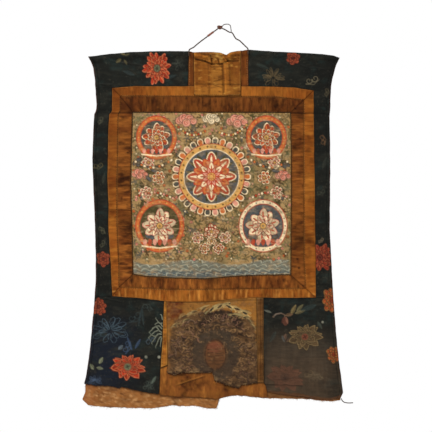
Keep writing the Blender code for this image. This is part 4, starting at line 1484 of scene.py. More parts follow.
@dataclass(frozen=True)
class BrocadeFlowers:
    """The woven flowers, leaves and scrolls of the blue brocade, each where it shows on the mount."""

    # Full flowers, each as (across, down, radius, height as a share of width, petals, turn, bloom, strength)
    flowers: tuple = (
        (-135.6, 44, 34, 1.16, 14, 12, Bloom.RED, 1),
        (190.8, 20, 17.5, 0.86, 6, 20, Bloom.BRICK, 0.9),
        (-265, 501.6, 17, 1.1, 6, 30, Bloom.BRICK, 0.85),
        (256, 498, 32, 1.08, 11, 5, Bloom.BRICK, 1),
        (284, 600, 25, 1.2, 8, 50, Bloom.ORANGE, 0.85),
        (288, 730, 18, 1.15, 7, 60, Bloom.ORANGE, 0.95),
        (-276, 616.8, 19, 1.1, 8, 10, Bloom.BRICK, 1),
    )
    # Lotuses, each as (across, down, radius, turn, bloom, strength)
    lotuses: tuple = (
        (-206.2, 762, 42, 0, Bloom.RED, 1), (219.6, 690, 42, 12, Bloom.OLIVE, 0.95),
        (171.6, 788, 44, -8, Bloom.FADED, 0.8),
    )
    # Flowers in outline, each as (across, down, radius, height as a share of width, petals, colour, strength)
    outlines: tuple = (
        (142.8, 66, 26, 0.85, 11, (98, 82, 56), 0.8),
        (-85, 33.6, 16, 0.9, 7, (72, 74, 64), 0.5),
        (-248.4, 674, 42, 0.8, 9, (84, 102, 112), 0.8),
        (-284.4, 794, 17, 0.8, 7, (70, 84, 104), 0.7),
        (241, 782, 22, 0.8, 8, (98, 84, 64), 0.6),
        (-154.8, 806.4, 14, 1, 6, (84, 92, 82), 0.6),
    )
    # Scroll pairs, each as (across, down, size, turn, colour, strength)
    scrolls: tuple = (
        (236.4, 71, 17, 20, (112, 102, 78), 0.75), (270, 101, 10, 80, (92, 82, 60), 0.6),
        (-272.4, 168, 10, 60, (78, 76, 60), 0.6), (-277, 276, 13, 10, (92, 82, 54), 0.7),
        (-270, 434, 11, 130, (88, 84, 62), 0.6), (-268, 464, 10, 60, (80, 78, 60), 0.6),
        (260.4, 216, 13, 100, (108, 78, 52), 0.65), (258, 456, 8, 40, (104, 92, 72), 0.7),
        (228, 776, 13, 30, (112, 92, 64), 0.7), (-210, 712, 16, 70, (66, 82, 104), 0.7),
        (250, 786, 11, 160, (104, 88, 64), 0.7), (-190, 640, 18, 30, (52, 62, 62), 0.7),
        (-160, 620, 14, 150, (58, 66, 62), 0.6), (258, 340, 11, 20, (66, 68, 56), 0.5),
        (-150, 700, 14, 200, (72, 84, 92), 0.6),
    )
    # Leaves, each as (across, down, direction, length, width, colour, strength)
    leaves: tuple = (
        (-212, 12, 150, 16, 8, (104, 92, 58), 0.7), (-222, 22, 215, 15, 8, (100, 90, 58), 0.7),
        (-214, 24, 300, 13, 6, (92, 84, 56), 0.6), (-212, 14, 20, 12, 6, (88, 82, 54), 0.5),
        (186, 634, 62, 26, 9, (122, 104, 66), 0.85), (196, 632, 18, 26, 8, (112, 100, 68), 0.8),
        (200, 626, 45, 22, 8, (104, 96, 66), 0.75), (190, 634, 190, 20, 8, (110, 84, 60), 0.8),
        (138, 630, 160, 18, 6, (108, 108, 94), 0.6), (168, 698, 70, 18, 9, (112, 84, 66), 0.8),
        (170, 700, 110, 16, 7, (84, 84, 78), 0.7), (176, 700, 40, 14, 6, (100, 72, 58), 0.7),
        (246, 612, 200, 40, 12, (52, 62, 58), 0.6), (150, 676, 240, 30, 10, (56, 60, 54), 0.6),
        (-274, 752, 60, 17, 9, (122, 124, 96), 0.85), (-288, 766, 120, 15, 9, (116, 118, 92), 0.85),
        (-280, 762, 350, 16, 8, (112, 114, 90), 0.7), (-228, 718, 40, 14, 9, (96, 106, 112), 0.7),
        (-196, 720, 110, 34, 7, (52, 66, 86), 0.8), (-188, 716, 60, 26, 7, (56, 70, 90), 0.8),
        (-168, 660, 95, 44, 6, (46, 54, 52), 0.8), (-180, 662, 80, 44, 6, (44, 52, 52), 0.8),
        (262, 500, 250, 44, 12, (58, 62, 50), 0.5), (-148, 800, 60, 20, 7, (96, 106, 92), 0.7),
        (250, 652, 300, 20, 8, (66, 70, 60), 0.6), (-266, 320, 80, 26, 8, (54, 56, 46), 0.6),
        (262, 284, 70, 30, 9, (52, 54, 46), 0.6), (-112, 68, 20, 24, 8, (50, 60, 58), 0.6),
        (-190, 60, 160, 30, 9, (48, 56, 54), 0.6), (104, 34, 340, 30, 9, (50, 56, 50), 0.6),
    )
    # The pale spray beside the lower left seam: each blade's root and tip, and how far it bows
    spray: tuple = (
        ((-122, 648), (-128, 632), 3), ((-121, 664), (-142, 656), 6),
        ((-121, 668), (-156, 676), 9), ((-122, 676), (-158, 690), 8),
        ((-123, 680), (-150, 704), 7), ((-124, 686), (-140, 714), 6),
        ((-124, 690), (-128, 712), 4), ((-122, 656), (-140, 644), -5),
        ((-130, 672), (-148, 666), 4), ((-132, 682), (-152, 684), -4),
    )
    spray_colour: Colour = (140, 142, 120)
    # Pale dots, each as (across, down, radius)
    dots: tuple = ((-162, 736.8, 3.4), (-130.8, 736.8, 3.4), (261.6, 652.8, 2.8))

    def __call__(self, dye: Dye, across: Array, down: Array, far: Array) -> None:
        """Dyes the brocade's ground and weaves its figures into it, with painted shade and highlights along
        its creases and painted shade in its hem grooves.

        Args:
            dye: The cloth's colours.
            across: Where, in millimetres.
            down: Where, in millimetres.
            far: How far each place is from a seam or hem.
        """
        dye.wash(1, (24, 25, 21))
        dye.mottle((31, 32, 27), 1.6, 0.35, 80, 51)
        dye.wash(0.8 * smooth(down, 600, 690) * smooth(-across, 150, 230), (24, 30, 42))
        dye.mottle((52, 50, 41), 1.7, 0.5, 12, 52, wide=0.4)
        dye.mottle((34, 48, 45), 2.2, 0.56, 16, 27, wide=0.7)
        dye.mottle((20, 18, 15), 1.5, 0.5, 34, 54)
        stain = smooth(across, 90, 150) * smooth(down, 640, 770) * (1 - 0.55 * smooth(across, 240, 296))
        dye.wash(1.1 * stain * (noise(across * 0.5, down, 30, 55, 5) + 0.1), (78, 62, 46))
        dye.wash(0.5 * stain * fall(down, 700, 800), (66, 60, 50))
        dye.wash(0.8 * stain * (noise(across * 1.6, down * 0.3, 9, 50) - 0.4), (98, 80, 60))
        for row in self.leaves:
            self.leaf(dye, *row)
        for a, d, size, turn, colour, strength in self.scrolls:
            board = dye.motif(a, d, 1.6 * size, turn, fade=strength)
            if board.index.size:
                board.spiral(0.45 * size, 0, 0.55 * size, 1.2, 180, 2.6, colour)
                board.spiral(-0.45 * size, 0, 0.5 * size, -1.2, 0, 2.6, colour)
                board.stroke([(-size, -0.3 * size), (0, -0.75 * size), (size, -0.3 * size)], 2.4, colour)
        for a, d, radius, tall, petals, colour, strength in self.outlines:
            self.outline(dye, a, d, radius, tall, petals, colour, strength)
        for a, d, radius, tall, petals, turn, bloom, strength in self.flowers:
            board = dye.motif(a, d, 1.4 * radius * max(tall, 1), turn, tall, strength)
            fill, rim, tip, heart = bloom.value
            board.flower(radius, petals, fill, rim, tip, heart, line=scaled(fill, 0.45))
            if bloom is Bloom.RED:
                board.disc(0, 0, 0.27 * radius, scaled(rim, 0.5), 1, 2.4)
                board.disc(0, 0, 0.21 * radius, heart, 1, 2.4)
                for spoke in range(0, 360, 60):
                    board.petal(0, 0, spoke, 0.19 * radius, 0.06 * radius, scaled(heart, 0.55), 0.8)
        for a, d, radius, turn, bloom, strength in self.lotuses:
            self.lotus(dye.motif(a, d, 1.25 * radius, turn, fade=strength), radius, bloom)
        branch = dye.motif(160, 644, 40, fade=0.62)
        branch.stroke([(-16, 4), (-10, 10), (2, 12), (10, 9), (12, 0)], 4.6, (128, 102, 82), 1.6)
        branch.stroke([(-14, 6), (-8, 11), (4, 13)], 2, (156, 146, 130), 1.4)
        branch.petal(12, 4, 272, 22, 14, (112, 66, 50), 0.6)
        branch.petal(14, 3, 285, 17, 6, (142, 96, 74), 0.7)
        branch.petal(8, 2, 255, 15, 5, (84, 48, 38), 0.7)
        for (a0, d0), (a1, d1), bow in self.spray:
            board = dye.motif((a0 + a1) / 2, (d0 + d1) / 2, 26, fade=0.8)
            along, over = 0.42 * (a1 - a0), 0.42 * (d0 - d1)
            ends = [(-along, -over), (-0.5 * along, -0.4 * over + bow), (0.1 * along, 0.2 * over + bow),
                    (0.7 * along, 0.7 * over + 0.2 * bow), (1.1 * along, 0.9 * over - 0.3 * bow),
                    (0.9 * along, over - 0.6 * bow)]
            board.stroke(ends, 4.4, (30, 34, 34))
            board.stroke(ends, 2.6, self.spray_colour)
        for a, d, radius in self.dots:
            dye.motif(a, d, 2 * radius).disc(0, 0, radius, (136, 134, 116), 1, 2.4)
        dye.wash(0.25 * stain, (84, 64, 46))
        dye.wash(0.5 * smooth(down, 790, 830) * smooth(-across, -60, 90), (30, 28, 26))
        end = at(BROCADE_END_RIGHT, across) - down + 7 * (noise(across, down, 16, 26, 3) - 0.5)
        dye.wash(0.8 * smooth(across, 120, 140) * fall(end, 3, 7), (92, 58, 34))
        # Painted shade along each crease, and a painted highlight just below it.
        for start, end, strength in BROCADE_CREASES:
            bent = down + 6 * (noise(across, down, 20, 19, 2) - 0.5)
            dye.shade(1 - crease(across, bent, start, end, 2.6, strength, 12))
            dye.wash(crease(across, bent + 3, start, end, 2.2, 0.5 * strength, 12), (64, 64, 58))
        hem = np.minimum(across - at(SIDE_LEFT, down), at(SIDE_RIGHT, down) - across)
        # Painted shade in the groove of the side hems, 8.2 mm in.
        dye.shade(1 - 0.42 * fall(np.abs(hem - 8.2), 0.3, 1.8))
        dye.wash(1.3 * fall(hem, 0.8, 2.6) * (noise(across, down, 26, 59) - 0.22), (98, 42, 26))
        dye.grain(0.76, 0.48, 2.6, 53, 2, wide=0.2)
        dye.mottle((84, 78, 64), 1.5, 0.7, 3.4, 56, 2)

    @staticmethod
    def leaf(dye: Dye, across: float, down: float, turn: float, length: float, width: float, colour: Colour,
             strength: float) -> None:
        """Weaves one leaf with its rib and a darker half.

        Args:
            dye: The cloth's colours.
            across: Its base, in millimetres.
            down: Its base, in millimetres.
            turn: Its direction, in degrees from the right.
            length: How long it is.
            width: How wide it is.
            colour: Its colour.
            strength: How strongly it shows, from 0 to 1.
        """
        board = dye.motif(across, down, 1.1 * length, turn, fade=strength)
        if board.index.size:
            board.petal(0, 0, 0, length, width, colour, 0.8)
            board.petal(0, -0.14 * width, 0, length * 0.92, width * 0.5, scaled(colour, 0.72), 0.8)
            board.stroke([(0, 0), (0.5 * length, 0.05 * width), (length, 0)], 1.6, scaled(colour, 1.15))

    @staticmethod
    def lotus(board: Motif, radius: float, bloom: Bloom) -> None:
        """Weaves a lotus seen from the side: a fan of petals over a row of wide hanging ones.

        Args:
            board: Where it goes.
            radius: How far its petals reach.
            bloom: Its colours.
        """
        fill, rim, tip, heart = bloom.value
        if not board.index.size:
            return
        faded = bloom is Bloom.FADED
        line = scaled(fill, 0.72 if faded else 0.45)
        deep = scaled(fill, 0.92 if faded else 0.8)
        for reach, wide, start, end, count, lift in (
            (1, 0.34, -16, 196, 12, 0.02), (1.12, 0.5, 194, 346, 5, 0.12), (0.8, 0.3, 10, 170, 8, 0),
            (0.84, 0.42, 214, 326, 4, 0.12), (0.6, 0.24, -6, 186, 8, 0), (0.5, 0.26, 190, 350, 5, 0.08),
        ):
            for k, turn in enumerate(np.linspace(start, end, count)):
                turn = float(turn) + 8 * math.sin(3.1 * k + 9 * reach)
                squat = 1 - 0.26 * abs(math.sin(math.radians(turn)))
                squat *= 1 + 0.09 * math.sin(5.3 * k + 4 * reach)
                length, width = radius * reach * squat, radius * wide * (1 + 0.14 * math.sin(2.3 * k + reach))
                y = radius * lift
                board.petal(0, y, turn, length + 1.4, width + 2, line, 0.85)
                board.petal(0, y, turn, length, width, rim, 0.85)
                board.petal(0, y, turn, 0.93 * length, 0.86 * width, fill if k % 2 else deep, 0.85)
                board.petal(0, y, turn + 5, 0.8 * length, 0.16 * width, tip, 0.8)
        board.disc(0, 0.04 * radius, 0.25 * radius, scaled(rim, 0.7), 1, 2.4)
        board.disc(0, 0.04 * radius, 0.19 * radius, heart, 1, 2)
        for turn in (20, 110, 200, 290):
            board.petal(0, 0.04 * radius, turn, 0.15 * radius, 0.07 * radius, scaled(heart, 0.6), 0.8)

    @staticmethod
    def outline(dye: Dye, across: float, down: float, radius: float, tall: float, petals: int, colour: Colour,
                strength: float) -> None:
        """Weaves a flower in outline.

        Args:
            dye: The cloth's colours.
            across: Its centre, in millimetres.
            down: Its centre, in millimetres.
            radius: How far its petals reach.
            tall: Its height as a share of its width.
            petals: How many petals its upper row has.
            colour: Its colour.
            strength: How strongly it shows, from 0 to 1.
        """
        board = dye.motif(across, down, 1.3 * radius, 0, tall, strength)
        if not board.index.size:
            return
        rng = np.random.default_rng(int(abs(across) + down))
        for share, start, end, count in ((1, -14, 194, petals), (1, 202, 338, max(3, petals // 2)),
                                         (0.7, 8, 172, petals - 3), (0.68, 216, 324, 3), (0.42, 20, 160, 4)):
            for middle in np.linspace(start, end, count):
                reach = radius * share * rng.uniform(0.85, 1.1)
                turn = math.radians(middle + rng.uniform(-6, 6))
                spread = 0.5 * math.radians((end - start) / count) * rng.uniform(0.8, 1.1)
                bend = rng.uniform(-0.2, 0.2)
                rim = [(0.28, -0.5 * spread), (0.7, -0.9 * spread + bend), (0.94, -0.5 * spread + bend),
                       (1, bend), (0.86, 0.75 * spread + bend), (0.55, 0.8 * spread)]
                points = [(reach * r * math.cos(turn + s), reach * r * math.sin(turn + s)) for r, s in rim]
                tint = rng.uniform(0.7, 1.1)
                board.stroke(points, rng.uniform(1.4, 2.4), scaled(colour, tint), 1.6)


def brocade_relief(across: Array, down: Array, far: Array) -> Array:
    """Raises the brocade's side hems and its slack wrinkles.

    Args:
        across: Where, in millimetres.
        down: Where, in millimetres.
        far: How far each place is from its edges.

    Returns:
        The height to the front, in millimetres.
    """
    hem = np.minimum(across - at(SIDE_LEFT, down), at(SIDE_RIGHT, down) - across)
    ridge = 0.6 * fall(hem, 6, 7.6) - 0.5 * fall(np.abs(hem - 8.4), 0, 1.6)
    slack = 1.9 * (noise(across, down, 42, 57, 3) - 0.5) + 0.6 * (noise(across * 0.5, down, 13, 58, 2) - 0.5)
    return ridge + slack * smooth(far, 0, 6)


def painting_relief(across: Array, down: Array, far: Array) -> Array:
    """Raises the slack of the painted cloth, drawn in where it is sewn."""
    pucker = 0.5 * np.sin(2 * np.pi * (across + 0.7 * down) / 9) * fall(far, 1, 9)
    return (1.6 * (noise(across, down, 70, 78, 3) - 0.5) + pucker) * smooth(far, 0, 3)


@dataclass(frozen=True)
class CentrePainting:
    """A lotus medallion among roundels, clouds and vines over water, in the old palette."""

    centre: tuple = (-5, 338)
    ground: Colour = (170, 137, 88)
    moss: Colour = (104, 104, 70)
    sand: Colour = (190, 152, 104)
    red: Colour = (190, 62, 42)
    orange: Colour = (208, 108, 52)
    ochre: Colour = (212, 158, 84)
    cream: Colour = (232, 208, 166)
    pink: Colour = (218, 146, 124)
    teal: Colour = (60, 82, 82)
    blue: Colour = (70, 90, 98)
    leaf: Colour = (68, 76, 46)
    dark: Colour = (54, 40, 26)

    def __call__(self, dye: Dye, across: Array, down: Array, far: Array) -> None:
        """Paints the cloth.

        Args:
            dye: The cloth's colours.
            across: Where, in millimetres.
            down: Where, in millimetres.
            far: How far each place is from its edges.
        """
        dye.wash(1, self.ground)
        dye.mottle(self.moss, 2, 0.48, 46, 71, 4)
        dye.mottle(self.sand, 2, 0.5, 38, 72, 4)
        self.water(dye, across, down)
        self.foliage(dye)
        self.clouds(dye)
        self.vines(dye)
        self.garlands(dye)
        for x, y, radius, field_colour, fill, ring in (
            (-132, 128, 49, self.teal, self.red, self.orange),
            (132, 128, 49, self.teal, self.red, self.orange),
            (-124, -84, 59, self.leaf, self.cream, self.orange),
            (124, -84, 59, self.blue, self.cream, self.cream),
        ):
            self.roundel(dye, x, y, radius, field_colour, fill, ring)
        self.medallion(dye)
        self.spray(dye)
        self.age(dye, across, down, far)

    def board(self, dye: Dye, x: float, y: float, reach: float, turn: float = 0, squash: float = 1,
              fade: float = 1) -> Motif:
        """Gives a drawing board round a place measured from the painting's centre."""
        return dye.motif(self.centre[0] + x, self.centre[1] - y, reach, turn, squash, fade)

    def water(self, dye: Dye, across: Array, down: Array) -> None:
        """Paints the water along the bottom, in rows of ripples.

        Args:
            dye: The cloth's colours.
            across: Where, in millimetres.
            down: Where, in millimetres.
        """
        edge = 506 + 6 * np.sin(across / 31) + 8 * (noise(across, down, 40, 73) - 0.5)
        dye.wash(0.85 * smooth(down, edge, edge + 5), (98, 118, 112))
        dye.wash(0.9 * smooth(down, 526, 536), (74, 100, 106))
        ripple = np.abs(np.sin(across / 7.5 + 1.7 * np.sin(down / 9))) * 6
        for row in (511, 521, 531, 541):
            line = np.abs(down - row + ripple)
            dye.wash(0.6 * fall(line, 0.4, 1.7) * smooth(down, edge - 2, edge + 4), (186, 186, 160))

    def foliage(self, dye: Dye) -> None:
        """Scatters leaves, curls and buds thickly over the ground.

        Args:
            dye: The cloth's colours.
        """
        rng = np.random.default_rng(74)
        greens = (self.leaf, self.moss, self.dark, (84, 98, 66), (96, 92, 58), self.teal)
        for x in np.arange(-188, 190, 12.5):
            for y in np.arange(-160, 188, 11.5):
                u, v = x + rng.uniform(-5, 5), y + rng.uniform(-5, 5)
                turn, kind = rng.uniform(0, 360), rng.random()
                board = self.board(dye, u, v, 16, turn, fade=rng.uniform(0.55, 0.95))
                if kind < 0.62:
                    green = greens[rng.integers(len(greens))]
                    for k in range(5):
                        board.petal(0, 0, 72 * k + rng.uniform(-20, 20), rng.uniform(7, 13),
                                    rng.uniform(3, 4.6), green, 0.8)
                    if kind < 0.3:
                        board.disc(0, 0, 2, self.cream if kind < 0.15 else self.pink)
                elif kind < 0.84:
                    board.spiral(0, 0, rng.uniform(5, 8), 1.3, 0, 2.8, greens[rng.integers(3)])
                    board.petal(3, 0, 40, 10, 4, self.leaf, 0.8)
                else:
                    board.disc(0, 0, 4.2, self.dark)
                    board.disc(0, 0, 3.4, self.pink if kind < 0.93 else self.orange)
                    board.disc(0, 0, 1.4, self.red)

    def garlands(self, dye: Dye) -> None:
        """Hangs strings of coloured beads between the roundels and the medallion.

        Args:
            dye: The cloth's colours.
        """
        for side in (-1, 1):
            for x0, y0, x1, y1, sag, colours in (
                (84, 158, 20, 140, -14, (self.ochre, self.red, self.cream)),
                (182, 70, 96, 74, -16, (self.cream, self.teal, self.orange)),
                (180, -14, 92, -18, 12, (self.pink, self.red, self.cream)),
            ):
                for k, share in enumerate(np.linspace(0, 1, 13)):
                    x = side * (x0 + (x1 - x0) * share)
                    y = y0 + (y1 - y0) * share + sag * math.sin(math.pi * share)
                    board = self.board(dye, x, y, 6)
                    board.disc(0, 0, 3.6, self.dark)
                    board.disc(0, 0, 2.7, colours[k % 3])

    def clouds(self, dye: Dye) -> None:
        """Paints the curling clouds at the top and beside the medallion.

        Args:
            dye: The cloth's colours.
        """
        for x, y, size, colour in (
            (-60, 168, 17, self.pink), (62, 166, 17, self.pink), (0, 172, 14, self.cream),
            (-172, 40, 13, self.pink), (172, 36, 13, self.pink), (-90, 108, 10, self.cream),
            (92, 106, 10, self.cream), (-176, 66, 9, self.blue), (176, 62, 9, self.blue),
        ):
            board = self.board(dye, x, y, 2.4 * size)
            for dx, dy, r in ((-1, 0, 0.6), (-0.35, 0.35, 0.72), (0.4, 0.3, 0.66), (1, -0.05, 0.52),
                              (0, -0.3, 0.62)):
                board.disc(dx * size, dy * size, r * size, scaled(colour, 0.6))
                board.disc(dx * size, dy * size, r * size - 1.6, colour)
                board.spiral(dx * size, dy * size, 0.6 * r * size, 1.2, 60, 1.8,
                             self.red if colour == self.pink else self.teal)

    def vines(self, dye: Dye) -> None:
        """Paints the vines that rise at both sides with their leaves and blossoms.

        Args:
            dye: The cloth's colours.
        """
        for side in (-1, 1):
            board = self.board(dye, side * 148, 20, 76)
            share = np.linspace(0, 1, 14)
            x = side * (6 + 16 * np.sin(2.6 * np.pi * share))
            y = -52 + 118 * share
            board.stroke(np.stack([x, y], axis=1), 3.4, self.dark, taper=False)
            board.stroke(np.stack([x, y], axis=1), 1.8, self.leaf, taper=False)
            for k in range(1, 13):
                turn = 60 + 180 * (k % 2) + 12 * k
                board.petal(x[k], y[k], turn, 20, 9, self.dark, 0.7)
                board.petal(x[k], y[k], turn, 18, 6.8, self.leaf if k % 3 else self.blue, 0.7)
            for k in (3, 7, 11):
                flower = self.board(dye, side * 148 + x[k] - side * 12, 20 + y[k], 21, 30 * k)
                flower.flower(16.5, 7, self.pink if k != 7 else self.orange, self.cream, self.red, self.ochre,
                              (1, 0.6))

    def roundel(self, dye: Dye, x: float, y: float, radius: float, field_colour: Colour, fill: Colour,
                ring: Colour) -> None:
        """Paints a ringed disc with a lotus on it.

        Args:
            dye: The cloth's colours.
            x: Its centre, from the painting's own.
            y: Its centre, from the painting's own.
            radius: Its radius.
            field_colour: The colour behind the lotus.
            fill: The lotus's colour.
            ring: The colour of its ring.
        """
        board = self.board(dye, x, y, 1.35 * radius)
        tall = 1.08
        for inset, colour in ((0, self.red), (2.2, ring), (9.5, self.red), (11.5, field_colour)):
            board.disc(0, 0, radius - inset, colour, tall)
        for k in range(20):
            angle = 2 * math.pi * k / 20
            board.disc((radius - 6) * math.cos(angle), (radius - 6) * tall * math.sin(angle), 1.6,
                       self.ochre if ring != self.cream else self.blue)
        for turn in range(0, 181, 30):
            board.petal(0, -0.42 * radius, turn, 0.62 * radius, 0.3 * radius, self.dark, 0.6)
            board.petal(0, -0.42 * radius, turn, 0.59 * radius, 0.24 * radius,
                        self.leaf if turn % 60 else self.blue, 0.6)
        flower = self.board(dye, x, y, radius, 15)
        rim = self.cream if fill != self.cream else self.pink
        flower.flower(0.68 * radius, 9, fill, rim, self.orange if fill == self.red else self.red, self.ochre,
                      (1, 0.66, 0.4))
        for k in range(7):
            u = (k - 3) * 0.2 * radius
            board.petal(u, -0.8 * radius, 90, 0.26 * radius, 0.17 * radius, self.red if k % 2 else self.pink,
                        0.4)
        board.stroke([(-0.72 * radius, -0.82 * radius), (0, -0.9 * radius), (0.72 * radius, -0.82 * radius)],
                     3.4, self.cream, taper=False)

    def medallion(self, dye: Dye) -> None:
        """Paints the large lotus medallion in the middle.

        Args:
            dye: The cloth's colours.
        """
        board = self.board(dye, 0, 34, 108)
        board.disc(0, 0, 93, self.dark)
        for k in range(30):
            turn = 12 * k
            angle = math.radians(turn)
            colour = (self.orange, self.teal, self.pink)[k % 3]
            board.petal(76 * math.cos(angle), 76 * math.sin(angle), turn, 19, 15, self.cream, 0.4)
            board.petal(77 * math.cos(angle), 77 * math.sin(angle), turn, 15.5, 11, colour, 0.4)
        for reach, colour in ((80, self.red), (78, self.ochre)):
            board.disc(0, 0, reach, colour)
        for k in range(24):
            angle = 2 * math.pi * (k + 0.5) / 24
            board.disc(72.5 * math.cos(angle), 72.5 * math.sin(angle), 2.3, (112, 84, 40))
        board.disc(0, 0, 67, self.cream)
        board.disc(0, 0, 65, self.blue)
        for k in range(16):
            turn = 22.5 * k
            board.petal(0, 0, turn + 11.25, 62, 13, self.leaf, 0.7)
        for reach, wide, fill, rim, offset in (
            (60, 27, self.red, self.cream, 0), (46, 22, self.orange, self.red, 22.5),
            (36, 17, self.cream, self.red, 0), (24, 12, self.pink, self.red, 22.5),
        ):
            for k in range(8):
                turn = 45 * k + offset
                board.petal(0, 0, turn, reach, wide, rim, 0.55)
                board.petal(0, 0, turn, reach - 2.4, wide - 5, fill, 0.55)
                board.petal(0, 0, turn, reach - 8, wide * 0.22, rim, 0.6)
        board.disc(0, 0, 11, self.red)
        board.disc(0, 0, 9.2, self.ochre)
        for k in range(8):
            angle = math.pi * k / 4
            board.disc(5.6 * math.cos(angle), 5.6 * math.sin(angle), 1.4, self.red)

    def spray(self, dye: Dye) -> None:
        """Paints the spray of flowers between the lower roundels.

        Args:
            dye: The cloth's colours.
        """
        board = self.board(dye, 0, -112, 66)
        for turn in (20, 45, 68, 90, 112, 135, 160):
            angle = math.radians(turn)
            tip = (46 * math.cos(angle), -20 + 46 * math.sin(angle))
            board.stroke([(0, -26), (0.5 * tip[0], -8 + 0.4 * tip[1]), tip], 2.4, self.leaf)
            board.petal(0.5 * tip[0], -8 + 0.4 * tip[1], turn + 35, 17, 6, self.leaf, 0.9)
            board.petal(0.5 * tip[0], -8 + 0.4 * tip[1], turn - 35, 17, 6, (84, 98, 62), 0.9)
        for x, y, size, fill in ((0, 14, 19, self.cream), (-33, 0, 15, self.pink), (33, 0, 15, self.pink),
                                 (-17, -26, 14, self.orange), (17, -26, 14, self.red),
                                 (0, -8, 12, self.ochre)):
            flower = self.board(dye, x, -112 + y, 1.3 * size, 10 * x)
            flower.flower(size, 7, fill, self.cream if fill != self.cream else self.red, self.red, self.ochre,
                          (1, 0.62))

    def age(self, dye: Dye, across: Array, down: Array, far: Array) -> None:
        """Rubs, scratches and soils the paint, and paints shade round its sewn edges.

        Args:
            dye: The cloth's colours.
            across: Where, in millimetres.
            down: Where, in millimetres.
            far: How far each place is from its edges.
        """
        lightness = dye.colour.mean(axis=-1)
        dye.shade(np.clip(lightness / 0.24, 0.2, 3) ** 0.3)
        dye.mottle((206, 176, 132), 2.2, 0.6, 5, 75, wide=0.3)
        dye.mottle((150, 118, 78), 1.8, 0.55, 12, 76, 4)
        dye.mottle((70, 58, 40), 1.4, 0.6, 6, 77)
        dye.wash(0.07, (190, 124, 56))
        dye.mottle((66, 46, 30), 1.6, 0.58, 4, 20, 2)
        dye.grain(0.8, 0.42, 2.8, 79, 2, wide=0.3)
        dye.wash(0.5 * fall(far, 3, 4.6) * noise(across, down, 20, 70), (196, 150, 70))
        # Painted shadow round the edges, where the borders lie over the painting.
        dye.wash(0.95 * fall(far, 1.2, 2.6), (44, 28, 15))


